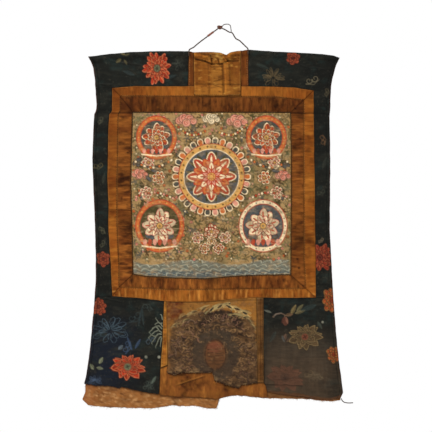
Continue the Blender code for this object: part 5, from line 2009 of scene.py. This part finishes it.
@dataclass(frozen=True)
class DoorFigure:
    """The figured panel below the painting: a disc in a dark ring, with scrolls and clouds round it."""

    disc: tuple = (4.6, 730.8)
    gold: Colour = (158, 106, 46)
    brown: Colour = (92, 66, 42)
    dark: Colour = (46, 35, 27)
    tan: Colour = (142, 108, 68)
    pale: Colour = (184, 150, 94)

    def __call__(self, dye: Dye, across: Array, down: Array, far: Array) -> None:
        """Weaves the panel.

        Args:
            dye: The cloth's colours.
            across: Where, in millimetres.
            down: Where, in millimetres.
            far: How far each place is from a seam.
        """
        x, y = across - self.disc[0], self.disc[1] - down
        dye.wash(1, self.gold)
        stained = smooth(-across + 9 * noise(across, down, 12, 88), 66, 84) * fall(down, 638, 660)
        dye.wash(0.6 * smooth(across, 50, 74) * fall(down, 628, 660), (184, 122, 50))
        dye.wash(1.5 * stained * noise(across, down, 9, 92, 3), (98, 44, 18))
        dye.mottle((124, 78, 36), 1.6, 0.45, 22, 89, 4)
        arch = ((np.abs(across) / 110) ** 3.2 + (np.maximum(y, 0) / 105) ** 3.2) ** (1 / 3.2)
        uneven = 0.16 * (noise(across, down, 14, 81) - 0.5)
        dye.wash(0.95 * fall(arch + uneven, 0.94, 1.04), self.brown)
        dye.mottle((118, 84, 56), 1.6, 0.5, 20, 82, 4, tall=1.5)
        self.ring(dye)
        self.scrolls(dye)
        self.clouds(dye)
        board = dye.motif(*self.disc, 44)
        board.disc(0, 0, 26.5, (60, 40, 28), 1.4, 3)
        board.disc(0, 0, 23.5, (110, 69, 39), 1.42, 2.5)
        board.disc(-2, 18, 17, (130, 74, 50), 0.8, 14)
        for row, bend in ((-14, 1), (-3, -1.5), (4, 1.5), (13, -1), (-22, 1)):
            board.stroke([(-19, row), (-6, row + bend), (8, row - bend), (19, row + 1.5)], 1.6, (72, 44, 28),
                         taper=False)
        outside = smooth(np.hypot(x / 52, (y - 3) / 60), 0.9, 1.2) * fall(arch, 0.88, 0.98)
        outside = outside * (1 - 0.8 * smooth(y, 62, 82))
        bent = down + 9 * (noise(across, down, 16, 95, 2) - 0.5)
        dye.wash(4 * outside * (noise(across * 0.6, bent * 1.3, 6.5, 94, 3) - 0.54), (36, 26, 18))
        dye.wash(3.2 * outside * (noise(across * 0.6, bent * 1.4, 5.5, 96, 3) - 0.58), (166, 126, 82))
        torn = at(DOOR_END, across) - down
        # Painted shade along the torn lower edge.
        dye.wash(0.8 * fall(torn + 5 * (noise(across, down, 9, 97, 2) - 0.5), 1.5, 6), (42, 28, 20))
        dye.wash(2.2 * fall(torn, 6, 14) * (noise(across * 0.5, down, 6, 98, 2) - 0.56), (184, 148, 98))
        soil = smooth(down, 640, 770)
        dye.wash(0.34 * soil * (0.5 + noise(across, down, 36, 83)), (76, 54, 38))
        dye.grain(0.78, 0.46, 3.2, 84, 2, wide=0.35)
        dye.mottle((150, 112, 74), 2, 0.62, 6, 85)
        dye.mottle((38, 28, 20), 2, 0.62, 7, 86)

    def ring(self, dye: Dye) -> None:
        """Weaves the dark ring round the disc, with its paler flecks.

        Args:
            dye: The cloth's colours.
        """
        board = dye.motif(*self.disc, 96)
        board.ring(0, 3, 44, 31, (66, 55, 43), 1.16, 12)
        rng = np.random.default_rng(80)
        board.fade = 0.6
        for _ in range(70):
            angle, reach = rng.uniform(0, 2 * np.pi), rng.uniform(33, 60)
            x, y = reach * np.cos(angle), 1.14 * reach * np.sin(angle)
            colour = ((86, 68, 52), (52, 43, 35), (78, 66, 54), (94, 72, 56))[rng.integers(4)]
            self.flourish(board, x, y, rng.uniform(-28, 28), rng.uniform(8, 18),
                          rng.uniform(2, 4), colour, rng.uniform(-3, 3), 2.4)

    @staticmethod
    def flourish(board: Motif, x: float, y: float, turn: float, length: float, width: float, colour: Colour,
                 bow: float, soft: float = 1.2) -> None:
        """Weaves one short curved stroke with a hook at its end.

        Args:
            board: Where it goes.
            x: Its middle.
            y: Its middle.
            turn: Its direction, in degrees.
            length: How long it is.
            width: How wide it is.
            colour: Its colour.
            bow: How far it bends sideways.
            soft: How wide its blurred rim is.
        """
        angle = math.radians(turn)
        c, s = math.cos(angle), math.sin(angle)
        run = ((-0.5, -0.5), (-0.2, 0.6), (0.2, 0.5), (0.5, -0.3), (0.42, -0.9))
        points = [(x + length * u * c - bow * v * s, y + length * u * s + bow * v * c) for u, v in run]
        board.stroke(points, width, colour, soft)

    def scrolls(self, dye: Dye) -> None:
        """Weaves the crowded scrolls at both sides and over the ring.

        Args:
            dye: The cloth's colours.
        """
        rng = np.random.default_rng(87)
        tints = (self.tan, (134, 96, 74), (118, 86, 62), (150, 112, 72), (126, 98, 76))
        for k in range(210):
            angle, reach = rng.uniform(-0.75, np.pi + 0.75), rng.uniform(60, 104)
            u, v = reach * math.cos(angle), 1.02 * reach * math.sin(angle)
            if abs(u) > 104 or v < -66:
                continue
            board = dye.motif(self.disc[0] + u, self.disc[1] - v, 20, fade=rng.uniform(0.55, 0.95))
            turn = (90 if rng.random() < 0.35 else 0) - 0.35 * u * (v > 0) + rng.uniform(-30, 30)
            length, bow = rng.uniform(11, 22), rng.uniform(3, 7)
            bow = bow if rng.random() < 0.5 else -bow
            self.flourish(board, 0, 0, turn, length, 6, (58, 44, 33), bow, 2.6)
            if rng.random() < 0.8:
                self.flourish(board, 0.8, 1.2, turn, 0.94 * length, rng.uniform(2, 3.8),
                              tints[rng.integers(5)], bow, 1.8)

    def clouds(self, dye: Dye) -> None:
        """Weaves the feathered pale clouds over the ring, and the dark curls below them.

        Args:
            dye: The cloth's colours.
        """
        rng = np.random.default_rng(90)
        arch = dye.motif(18, 644, 64, fade=0.9)
        arch.stroke([(-46, -16), (-26, 4), (0, 11), (22, 7), (44, -10)], 19, (40, 30, 24), 5, False)
        for u in np.linspace(-42, 42, 22):
            v = 9 - 0.012 * u * u + rng.uniform(-5, 4)
            tint = ((136, 96, 78), (150, 116, 84), (110, 78, 60))[rng.integers(3)]
            self.flourish(arch, u, v, 95 - 1.3 * u + rng.uniform(-25, 25), rng.uniform(7, 13),
                          rng.uniform(1.6, 2.6), tint, rng.uniform(-4, 4), 1.4)
        # Rows of feathers, each as (across and down of one end, of the other, spread, count, strength)
        for a0, d0, a1, d1, spread, count, strength in (
            (-14, 624, 44, 607, 5, 26, 0.95), (30, 612, 84, 634, 5, 26, 0.95),
            (44, 634, 84, 642, 4, 14, 0.8), (-78, 640, -14, 618, 4.5, 24, 0.5),
            (-96, 662, -60, 646, 4, 10, 0.4), (84, 646, 98, 668, 3, 8, 0.35),
        ):
            lean = math.degrees(math.atan2(d0 - d1, a1 - a0))
            for _ in range(count):
                share = rng.random()
                a, d = a0 + (a1 - a0) * share, d0 + (d1 - d0) * share + rng.uniform(-spread, spread)
                board = dye.motif(a, d, 18, lean + rng.uniform(-22, 22), fade=strength * rng.uniform(0.6, 1))
                tint = (self.pale, (206, 174, 112), (164, 136, 88), (150, 140, 96))[rng.integers(4)]
                board.stroke([(-9, -1), (-3, 2), (9, 0.6)], rng.uniform(2.4, 4.6), tint, 1.8)
            for share in np.linspace(0.15, 0.85, max(2, count // 8)):
                a, d = a0 + (a1 - a0) * share, d0 + (d1 - d0) * share + rng.uniform(-2, 2)
                board = dye.motif(a, d, 16, lean + rng.uniform(-15, 25), fade=min(1, strength + 0.2))
                board.petal(-7, 0, 0, 15, 6.4, (48, 42, 34), 0.9, 1.6)
                board.stroke([(-6, 1.6), (0, 2.6), (7, 0.8)], 1.8, (198, 166, 106))


def foot_dye(dye: Dye, across: Array, down: Array, far: Array) -> None:
    """Dyes the strip that shows under the torn panel, with a painted crease and painted shadow under the
    panel's torn edge.

    Args:
        dye: The cloth's colours.
        across: Where, in millimetres.
        down: Where, in millimetres.
        far: How far each place is from its edges.
    """
    dye.wash(1, (130, 75, 31))
    dye.mottle((64, 32, 12), 3.4, 0.5, 26, 61, 5, tall=1.3)
    dye.mottle((178, 112, 46), 3.4, 0.52, 16, 64, 4, wide=1.3, tall=0.5)
    dye.grain(0.62, 0.76, 3, 65, tall=0.25)
    # Painted shade and highlight of a diagonal crease.
    dye.wash(crease(across, down, (-81, 803), (-30, 786), 2.4, 0.8), (56, 28, 12))
    dye.wash(crease(across, down, (-80, 799.5), (-30, 782.5), 2, 0.5), (190, 126, 56))
    dye.wash(0.5 * smooth(down, 818, 832) * noise(across, down, 12, 60), (70, 38, 18))
    # Painted shadow under the torn edge of the panel above.
    torn = np.where(across < -110, at(DOOR_STRIP_END_LEFT, across), at(DOOR_END, across))
    below = down - torn + 4 * (noise(across, down, 12, 99, 2) - 0.5)
    dye.wash(0.85 * fall(below, 1, 6), (38, 20, 11))


def lining_dye(dye: Dye, across: Array, down: Array, far: Array) -> None:
    """Dyes the coarse cotton lining, with its stains and worn specks, and painted shadow under the cloths
    that hang over it.

    Args:
        dye: The cloth's colours.
        across: Where, in millimetres.
        down: Where, in millimetres.
        far: How far each place is from its edges.
    """
    dye.wash(1, (162, 104, 54))
    dye.mottle((112, 64, 31), 2.6, 0.5, 42, 62, 6, wide=0.6)
    dye.mottle((208, 156, 100), 3, 0.5, 5, 63, 4, wide=0.8, tall=1.5)
    dye.mottle((88, 46, 22), 3, 0.6, 8, 66, wide=0.5, tall=1.4)
    dye.grain(0.66, 0.68, 5, 67, 2, wide=0.8)
    dye.wash(0.7 * fall(far, 0.5, 4) * (0.4 + noise(across, down, 16, 18)), (92, 46, 24))
    # Painted shadow under the lower edges of the brocade and the foot strip.
    covered = np.where(across < -128, at(BROCADE_END_LEFT, across), at(FOOT_END, across))
    dye.wash(0.7 * fall(down - covered, 0.5, 7), (70, 38, 20))
    dye.wash(0.5 * fall(across, -306, -270) * noise(across, down, 14, 17), (142, 70, 44))


def lining_back_dye(dye: Dye, across: Array, down: Array, far: Array) -> None:
    """Dyes the lining's back, with its damp stains and the seams that show through it.

    Args:
        dye: The back's colours.
        across: Where, in millimetres.
        down: Where, in millimetres.
        far: How far each place is from a hem.
    """
    lining_dye(dye, across, down, far)
    dye.wash(0.55, (148, 94, 48))
    near = np.full_like(across, 1e3)
    for edge in (BORDER_TOP, BORDER_BOTTOM, PAINTING_TOP, PAINTING_BOTTOM):
        inside = (across > edge[0][0]) & (across < edge[-1][0])
        near = np.where(inside, np.minimum(near, np.abs(down - at(edge, across))), near)
    for edge in (BORDER_LEFT, BORDER_RIGHT, PAINTING_LEFT, PAINTING_RIGHT):
        inside = (down > edge[0][0]) & (down < edge[-1][0])
        near = np.where(inside, np.minimum(near, np.abs(across - at(edge, down))), near)
    dye.wash(0.42 * fall(near, 1, 6), (96, 56, 28))
    for a, d, wide, tall, strength in ((-150, 210, 120, 80, 0.3), (120, 420, 150, 110, 0.26),
                                       (-60, 700, 190, 90, 0.34),
                                       (210, 120, 80, 60, 0.3), (240, 760, 90, 80, 0.34)):
        share = np.hypot((across - a) / wide, (down - d) / tall) + 0.5 * (noise(across, down, 50, 69) - 0.5)
        dye.wash(strength * fall(share, 0.82, 1), (124, 76, 38))
        dye.wash(0.6 * strength * fall(np.abs(share - 0.96), 0, 0.05), (74, 42, 20))
    dye.shade(0.86 + 0.14 * smooth(far, 0, 14))


def coarse(across: Array, down: Array, far: Array) -> Array:
    """Raises the slack and wrinkles of a coarse cloth."""
    return 1.2 * (noise(across, down, 22, 68, 4) - 0.5) * smooth(far, 0, 4)


@dataclass
class Window:
    """The painting in its two mitred silk borders, and the brocade beside it."""

    painting_cell: float = 1.45
    border_cell: float = 1.7
    brocade_cell: float = 1.6

    def frame(self, name: str, outer: Sequence[Edge], inner: Sequence[Edge], finish: Finish,
              tones: tuple[Tone, Tone], materials: Materials) -> None:
        """Makes four strips that meet in mitres.

        Args:
            name: The frame's name, which the pieces' names start with.
            outer: Its outer edges, from the top clockwise.
            inner: Its inner edges, from the top clockwise.
            finish: Its cloth.
            tones: Its shade at the top and on the other sides.
            materials: Where its finish comes from.
        """
        pairs = ((0, 3), (0, 1), (2, 1), (2, 3))
        outside = [corner(outer[row], outer[column]) for row, column in pairs]
        inside = [corner(inner[row], inner[column]) for row, column in pairs]
        strips = (
            ("top", (outside[0], outside[1], inside[1], inside[0]), (outer[0], None, inner[0], None),
             Ribs.UPRIGHT),
            ("right", (inside[1], outside[1], outside[2], inside[2]), (None, outer[1], None, inner[1]),
             Ribs.LEVEL),
            ("bottom", (inside[3], inside[2], outside[2], outside[3]), (inner[2], None, outer[2], None),
             Ribs.UPRIGHT),
            ("left", (outside[0], inside[0], inside[3], outside[3]), (None, inner[3], None, outer[3]),
             Ribs.LEVEL),
        )
        (left, top), (right, _), (_, bottom), _ = inside
        lines = {
            "top": along(inner[0], left + 3, right - 3, False, -1.5),
            "bottom": along(inner[2], left + 3, right - 3, False, 1.5),
            "left": along(inner[3], top + 3, bottom - 3, True, -1.5),
            "right": along(inner[1], top + 3, bottom - 3, True, 1.5),
        }
        for place, corners, edges, ribs in strips:
            cut = Cut(f"{name}_{place}", *edges, corners=corners, cell=self.border_cell)
            Cloth(
                cut, finish, lambda dye, a, d, far, ribs=ribs,
                tone=tones[place != "top"]: silk_dye(dye, a, d, far, ribs, tone),
                lambda a, d, far, ribs=ribs: ribbed(a, d, ribs) * smooth(far, 0, 3),
            ).build(materials,
                    (Trim(f"{cut.name}_stitches", lines[place], (50, 26, 13), False, 5.6, 3.4, 0.8),))

    def build(self, materials: Materials) -> None:
        """Makes the painting, the borders and the side brocades.

        Args:
            materials: Where its finishes come from.
        """
        borders = (BORDER_TOP, BORDER_RIGHT, BORDER_BOTTOM, BORDER_LEFT)
        inner = (INNER_TOP, INNER_RIGHT, INNER_BOTTOM, INNER_LEFT)
        window = (PAINTING_TOP, PAINTING_RIGHT, PAINTING_BOTTOM, PAINTING_LEFT)
        sewn = [
            Trim(f"painting_stitches_{side}", along(edge, start, end, upright, inset), (52, 34, 20), False,
                 6.4, 3.6, 0.8)
            for side, edge, start, end, upright, inset in (
                ("top", PAINTING_TOP, -190, 182, False, 1.6),
                ("bottom", PAINTING_BOTTOM, -190, 182, False, -1.6),
                ("left", PAINTING_LEFT, 153, 535, True, 1.6), ("right", PAINTING_RIGHT, 153, 537, True, -1.6),
            )
        ]
        cut = Cut("painting", *window, cell=self.painting_cell)
        Cloth(cut, PAINT, CentrePainting(), painting_relief).build(materials, sewn)
        self.frame("inner_border", inner, window, BROWN_SILK, (Tone.UMBER, Tone.BROWN), materials)
        self.frame("outer_border", borders, inner, ORANGE_SILK, (Tone.ORANGE, Tone.ORANGE), materials)
        for name, right, left in (("brocade_side_left", BORDER_LEFT, SIDE_LEFT),
                                  ("brocade_side_right", SIDE_RIGHT, BORDER_RIGHT)):
            cut = Cut(name, BORDER_TOP, right, BORDER_BOTTOM, left, cell=self.brocade_cell,
                      torn=("top", "bottom"))
            Cloth(cut, BROCADE, BrocadeFlowers(), brocade_relief).build(materials)


@dataclass
class LowerBand:
    """The figured panel below the painting, with brocade at both sides and the foot strip."""

    brocade_cell: float = 1.4
    door_cell: float = 1.2
    lap: float = 732

    def build(self, materials: Materials) -> None:
        """Makes its six pieces.

        Args:
            materials: Where its finishes come from.
        """
        for name, right, bottom, left in (
            ("brocade_bottom_left", LOWER_SEAM_LEFT, BROCADE_END_LEFT, SIDE_LEFT),
            ("brocade_bottom_right", SIDE_RIGHT, BROCADE_END_RIGHT, LOWER_SEAM_RIGHT),
        ):
            cut = Cut(name, BORDER_BOTTOM, right, bottom, left, cell=self.brocade_cell, torn=("bottom",))
            ends = bottom[0][0] + 2, bottom[-1][0] - 2
            Cloth(cut, BROCADE, BrocadeFlowers(), brocade_relief).build(materials, (
                Trim(f"{name}_frayed_end", along(bottom, *ends), (40, 30, 26), True, 1.8, 5, 0.45, 1.3, 9),
                Trim(f"{name}_red_threads", along(bottom, *ends), (96, 48, 30), True, 9, 5, 0.5, 1.6, 10),
            ))
        for name, right, bottom, left, tone, line in (
            ("door_strip_left", DOOR_LEFT, DOOR_STRIP_END_LEFT, LOWER_SEAM_LEFT, Tone.AMBER,
             along(LOWER_SEAM_LEFT, 610, 752, True, 3)),
            ("door_strip_right", LOWER_SEAM_RIGHT, DOOR_STRIP_END_RIGHT, DOOR_RIGHT, Tone.TAWNY,
             along(LOWER_SEAM_RIGHT, 602, 792, True, -3.4)),
        ):
            cut = Cut(name, BORDER_BOTTOM, right, bottom, left, cell=1.5, lap=self.lap)
            Cloth(cut, ORANGE_SILK, lambda dye, a, d, far: silk_dye(dye, a, d, far, Ribs.LEVEL, tone)).build(
                materials, (Trim(f"{name}_stitches", line, (60, 34, 18), False, 5.6, 3.4, 0.8),))
        door = Cut("door_panel", BORDER_BOTTOM, DOOR_RIGHT, DOOR_END, DOOR_LEFT, cell=self.door_cell,
                   lap=self.lap, torn=("bottom",))
        Cloth(door, DOOR_SILK, DoorFigure(), coarse).build(materials, (
            Trim("door_frayed_end", along(DOOR_END, -111, 104), (60, 44, 30), True, 1.4, 6, 0.5, 1.5, 7),
            Trim("door_pale_threads", along(DOOR_END, -108, 100), (156, 124, 84), True, 8, 7, 0.5, 1.9, 8),
        ))
        foot = Cut("foot_strip", FOOT_TOP, LOWER_SEAM_RIGHT, FOOT_END, LOWER_SEAM_LEFT, cell=1.8,
                   torn=("bottom",))
        Cloth(foot, GOLD_SILK, foot_dye, coarse).build(materials, (
            Trim("foot_frayed_end", along(FOOT_END, -126, 126), (112, 66, 30), True, 2.2, 4, 0.4, 1.2, 6),
        ))


@dataclass
class Lining:
    """The coarse cotton behind everything, which shows along the lower edge."""

    cell: float = 3.6

    def build(self, materials: Materials) -> None:
        """Makes the lining.

        Args:
            materials: Where its finishes come from.
        """
        cut = Cut("lining", LINING_TOP, LINING_RIGHT, LINING_END, LINING_LEFT, cell=self.cell,
                  thickness=LINING,
                  behind=LINING_BEHIND, torn=("bottom", "left", "right", "top"), back_every=1, gather=0.8)
        frayed = [
            Trim(f"lining_{name}", along(edge, start, end, edge is LINING_LEFT), colour, True, spacing,
                 length, thick, stray, seed)
            for name, edge, start, end, colour, spacing, length, thick, stray, seed in (
                ("frayed_end", LINING_END, -298, 302, (138, 88, 46), 1.5, 5, 0.4, 1.3, 3),
                ("long_threads", LINING_END, -290, 12, (118, 72, 36), 17, 11, 0.45, 1.5, 4),
                ("frayed_side", LINING_LEFT, 806, 850, (132, 84, 44), 2.5, 4, 0.4, 1.6, 5),
            )
        ]
        stitched = [
            Trim(f"back_stitches_{place}", along(edge, start, end, upright, inset), (74, 44, 24), False,
                 *((8, 4) if inset else (9, 4.4)), 0.8, behind=True)
            for place, edge, start, end, upright, inset in (
                ("top", BORDER_TOP, -238, 236, False, 0), ("bottom", BORDER_BOTTOM, -240, 242, False, 0),
                ("left", BORDER_LEFT, 95, 588, True, 0), ("right", BORDER_RIGHT, 101, 590, True, 0),
                ("hem", LINING_TOP, -282, 286, False, 5), ("side_left", LINING_LEFT, 44, 780, True, 6),
                ("side_right", LINING_RIGHT, 44, 780, True, -6),
            )
        ]
        Cloth(cut, COTTON, lining_dye, coarse, underside=lining_back_dye).build(materials, frayed + stitched)


@dataclass
class Hanger:
    """The hanging cord with its wrap, knot and thin eye, and the loose end at the corner."""

    cord: float = 3
    eye: float = 2
    tail: float = 2.4
    wrap: float = 5.2
    thread: float = 1
    knot_centre: tuple = (-16.3, 0, -6.5)
    knot_size: tuple = (7.2, 4.3, 5.4)
    colour: Colour = (70, 53, 44)
    binding: Colour = (158, 98, 80)
    knotted: Colour = (112, 74, 60)

    @staticmethod
    def smooth_route(route: Sequence[Sequence[float]], spacing: float) -> Array:
        """Gives evenly spaced points on a smooth curve through a route's own points.

        Args:
            route: The points, in millimetres.
            spacing: How far apart the new points are.

        Returns:
            The new points.
        """
        points = [Vector(p) for p in route]
        ends = [2 * points[0] - points[1], *points, 2 * points[-1] - points[-2]]
        fine = []
        for p0, p1, p2, p3 in zip(ends, ends[1:], ends[2:], ends[3:]):
            for t in np.linspace(0, 1, 12, endpoint=False):
                fine.append(0.5 * (2 * p1 + (p2 - p0) * t + (2 * p0 - 5 * p1 + 4 * p2 - p3) * t**2
                                   + (3 * p1 - p0 - 3 * p2 + p3) * t**3))
        fine = np.array([*fine, points[-1]])
        run = np.concatenate([[0], np.cumsum(np.linalg.norm(np.diff(fine, axis=0), axis=1))])
        places = np.linspace(0, run[-1], max(4, round(run[-1] / spacing) + 1))
        return np.stack([np.interp(places, run, fine[:, k]) for k in range(3)], axis=1)

    @staticmethod
    def tube(name: str, path: Array, diameter: float, colour: Colour, material: bpy.types.Material,
             plies: int = 3, lay: float = 4, sides: int = 18) -> bpy.types.Object:
        """Makes a length of twisted yarn along a path.

        Args:
            name: The piece's name.
            path: The points that it follows, in millimetres.
            diameter: How thick it is.
            colour: Its colour.
            material: Its material.
            plies: How many strands are twisted together, or 0 for a plain thread.
            lay: The length of one twist, in diameters.
            sides: How many sides its mesh has.

        Returns:
            The piece.
        """
        steps = np.diff(path, axis=0)
        tangents = np.vstack([steps[:1], (steps[:-1] + steps[1:]) / 2, steps[-1:]])
        tangents /= np.linalg.norm(tangents, axis=1)[:, None]
        run = np.concatenate([[0], np.cumsum(np.linalg.norm(steps, axis=1))])
        normal = np.cross(tangents[0], (0, 1, 0.13))
        angles = np.linspace(0, 2 * np.pi, sides, endpoint=False)
        points, tint = [], []
        for place, tangent, along in zip(path, tangents, run):
            normal = normal - tangent * (normal @ tangent)
            normal /= np.linalg.norm(normal)
            across = np.cross(tangent, normal)
            phase = 2 * np.pi * along / (lay * diameter)
            lobe = np.abs(np.cos(plies / 2 * (angles - phase))) if plies else np.ones(sides)
            radius = diameter / 2 * (0.9 + 0.1 * lobe)
            spokes = np.cos(angles)[:, None] * normal + np.sin(angles)[:, None] * across
            points.append(place + radius[:, None] * spokes)
            # Painted shade in the grooves between the plies, and at the end caps' centres.
            tint.append(0.5 + 0.5 * lobe)
        ends = [path[0] - tangents[0] * diameter * 0.12, path[-1] + tangents[-1] * diameter * 0.12]
        rings = np.arange(len(path) * sides).reshape(len(path), sides)
        quads = np.stack([rings[:-1], rings[1:], np.roll(rings[1:], -1, 1), np.roll(rings[:-1], -1, 1)],
                         axis=-1)
        faces = quads.reshape(-1, 4).tolist()
        first, last = rings.size, rings.size + 1
        faces += [[first, int(rings[0, k]), int(rings[0, (k + 1) % sides])] for k in range(sides)]
        faces += [[last, int(rings[-1, (k + 1) % sides]), int(rings[-1, k])] for k in range(sides)]
        shade = np.concatenate([np.ravel(tint), [0.6, 0.6]])
        return mesh_of(name, np.vstack([np.concatenate(points), ends]) * MM, faces,
                       linear(colour) * shade[:, None], material)

    def build(self, materials: Materials) -> None:
        """Args:
            materials: Where its finishes come from.
        """
        yarn, thread = materials.fabric(YARN), materials.fabric(THREAD)
        knot = np.array(self.knot_centre)
        through = (*ROUTE_LEFT, *ROUTE_WRAP[1:], *ROUTE_MIDDLE[1:], tuple(knot), *ROUTE_RIGHT)
        path = self.smooth_route(through, 0.8)
        main = self.tube("hanging_cord", path, self.cord, self.colour, yarn)
        eye_path = self.smooth_route(((-13.5, 0, -5.2), *ROUTE_EYE), 0.6)
        eye = self.tube("eye_cord", eye_path, self.eye, self.colour, yarn, sides=12)

        binding = self.winding()
        bound = self.tube("cord_binding", binding, self.thread, self.binding, thread, plies=0, sides=8)
        knotted = self.knotting(thread)
        pieces = ((main, ("cord_left", "cord_middle", "cord_right"), "cord"), (eye, ("cord_eye",), "cord"),
                  (bound, ("cord_wrap",), "cord_binding"), (knotted, ("cord_knot",), "cord_binding"))
        for piece, nodes, slot in pieces:
            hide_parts(*nodes)
            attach(piece, "root")
        length = self.length(path)
        eye_length = self.length(eye_path)
        depth = float(Drape().back(*TAIL_AT)) + LINING_BEHIND
        tail_path = self.smooth_route([(x, y + depth, z) for x, y, z in ROUTE_TAIL], 0.6)
        tail = self.tube("corner_tail_cord", tail_path, self.tail, self.colour, yarn, sides=12)
        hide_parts("corner_tail")
        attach(tail, "root")
        self.length(tail_path) * MM
        LOG.info("hanging cord %.0f mm, eye %.0f mm, corner end %.0f mm", length, eye_length,
                 self.length(tail_path))

    @staticmethod
    def length(path: Array) -> float:
        """Measures a path."""
        return float(np.linalg.norm(np.diff(path, axis=0), axis=1).sum())

    def winding(self) -> Array:
        """Gives the thread's helix round the wrapped stretch of the cord.

        Returns:
            The points, in millimetres.
        """
        start, end = np.array(ROUTE_WRAP[0]), np.array(ROUTE_WRAP[-1])
        axis = (end - start) / np.linalg.norm(end - start)
        up = np.cross(axis, (0, 1, 0))
        front = np.cross(up, axis)
        radius = (self.wrap - self.thread) / 2
        turns = np.linalg.norm(end - start) / (self.thread * 1.04)
        share = np.linspace(0, 1, int(turns * 16))
        angle = 2 * np.pi * turns * share
        swell = radius * (1 + 0.05 * np.sin(7 * share))
        return (start + (end - start) * share[:, None] + up * (swell * np.cos(angle))[:, None]
                + front * (swell * np.sin(angle))[:, None])

    def knotting(self, material: bpy.types.Material) -> bpy.types.Object:
        """Makes the lumpy knot from one strand tied over and under itself.

        Args:
            material: Its material.

        Returns:
            The piece.
        """
        share = np.linspace(0, 2 * np.pi, 120, endpoint=False)
        x = np.sin(share) + 2 * np.sin(2 * share)
        z = np.cos(share) - 2 * np.cos(2 * share)
        y = -np.sin(3 * share)
        strand = 4.1
        reach = [size - strand / 2 for size in self.knot_size]
        path = np.stack([x / 3 * reach[0], y * reach[1], z / 3 * reach[2]],
                        axis=1) + np.array(self.knot_centre)
        return self.tube("knot", np.vstack([path, path[:1]]), strand, self.knotted, material, plies=2, lay=3,
                         sides=14)


@dataclass
class Studio:
    """A pale floor, soft lights and the camera, square to the cloth."""

    pixel: float = 0.0024
    frame_side: float = 432
    nail_px: tuple = (226.6, 24.6)
    distance: float = 3
    sensor: float = 36
    floor_z: float = -1.32

    def build(self) -> None:
        """Makes the camera, the floor, the lights and the sky."""
        scene = bpy.context.scene
        scene.view_settings.view_transform = "Standard"
        span = self.frame_side * self.pixel
        x = (self.frame_side / 2 - self.nail_px[0]) * self.pixel
        z = (self.nail_px[1] - self.frame_side / 2) * self.pixel
        camera = bpy.data.cameras.new("camera")
        camera.sensor_width = self.sensor
        camera.lens = self.sensor * self.distance / span
        camera.clip_end = 20
        viewer = bpy.data.objects.new("camera", camera)
        viewer.location = (x, -self.distance, z)
        viewer.rotation_euler = (math.pi / 2, 0, 0)
        scene.collection.objects.link(viewer)
        scene.camera = viewer
        self.floor()
        self.light("key", (-1.5, -1.7, 0.9), 1.6, 40, (x, 0, z))
        self.light("fill", (1.3, -2.4, -0.1), 2.4, 12, (x, 0, z))
        self.light("rim", (0.4, 2, 0.6), 2.2, 30, (x, 0, z))
        self.sky()

    def floor(self) -> None:
        """Makes the pale floor."""
        mesh = bpy.data.meshes.new("floor")
        half, depth, z = 2.4, 1.2, self.floor_z
        mesh.from_pydata([(-half, -depth, z), (half, -depth, z), (half, depth, z), (-half, depth, z)], [],
                         [(0, 1, 2, 3)])
        material = bpy.data.materials.new("pale floor")
        material.use_nodes = True
        shader = material.node_tree.nodes["Principled BSDF"]
        shader.inputs["Base Color"].default_value = (0.86, 0.86, 0.86, 1)
        shader.inputs["Roughness"].default_value = 0.9
        mesh.materials.append(material)
        floor = bpy.data.objects.new("floor", mesh)
        bpy.context.scene.collection.objects.link(floor)

    @staticmethod
    def light(name: str, place: tuple, size: float, power: float, target: tuple) -> None:
        """Makes one soft light that faces the cloth.

        Args:
            name: Its name.
            place: Where it stands.
            size: How wide it is.
            power: How strong it is, in watts.
            target: What it faces.
        """
        lamp = bpy.data.lights.new(name, "AREA")
        lamp.shape = "DISK"
        lamp.size, lamp.energy = size, power
        holder = bpy.data.objects.new(name, lamp)
        holder.location = place
        holder.rotation_euler = (Vector(target) - Vector(place)).to_track_quat("-Z", "Y").to_euler()
        bpy.context.scene.collection.objects.link(holder)

    @staticmethod
    def sky() -> None:
        """Makes the white surround, dimmer as a light than as a backdrop."""
        world = bpy.data.worlds.new("studio")
        bpy.context.scene.world = world
        world.use_nodes = True
        tree = world.node_tree
        tree.nodes.clear()
        out = tree.nodes.new("ShaderNodeOutputWorld")
        seen, lit = tree.nodes.new("ShaderNodeBackground"), tree.nodes.new("ShaderNodeBackground")
        seen.inputs["Color"].default_value = lit.inputs["Color"].default_value = (1, 1, 1, 1)
        seen.inputs["Strength"].default_value, lit.inputs["Strength"].default_value = 1, 0.42
        path, mix = tree.nodes.new("ShaderNodeLightPath"), tree.nodes.new("ShaderNodeMixShader")
        tree.links.new(path.outputs["Is Camera Ray"], mix.inputs[0])
        tree.links.new(lit.outputs[0], mix.inputs[1])
        tree.links.new(seen.outputs[0], mix.inputs[2])
        tree.links.new(mix.outputs[0], out.inputs["Surface"])


def write_sizes() -> None:
    """Updates the view layer so that every piece's place is current."""
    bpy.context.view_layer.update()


def main() -> None:
    """Builds the scene, piece by piece."""
    logging.basicConfig(level=logging.INFO, format="%(message)s")
    materials = Materials()
    Studio().build()
    Hanger().build(materials)
    Lining().build(materials)
    TopBand().build(materials)
    Window().build(materials)
    LowerBand().build(materials)
    write_sizes()


if __name__ == "__main__":
    main()
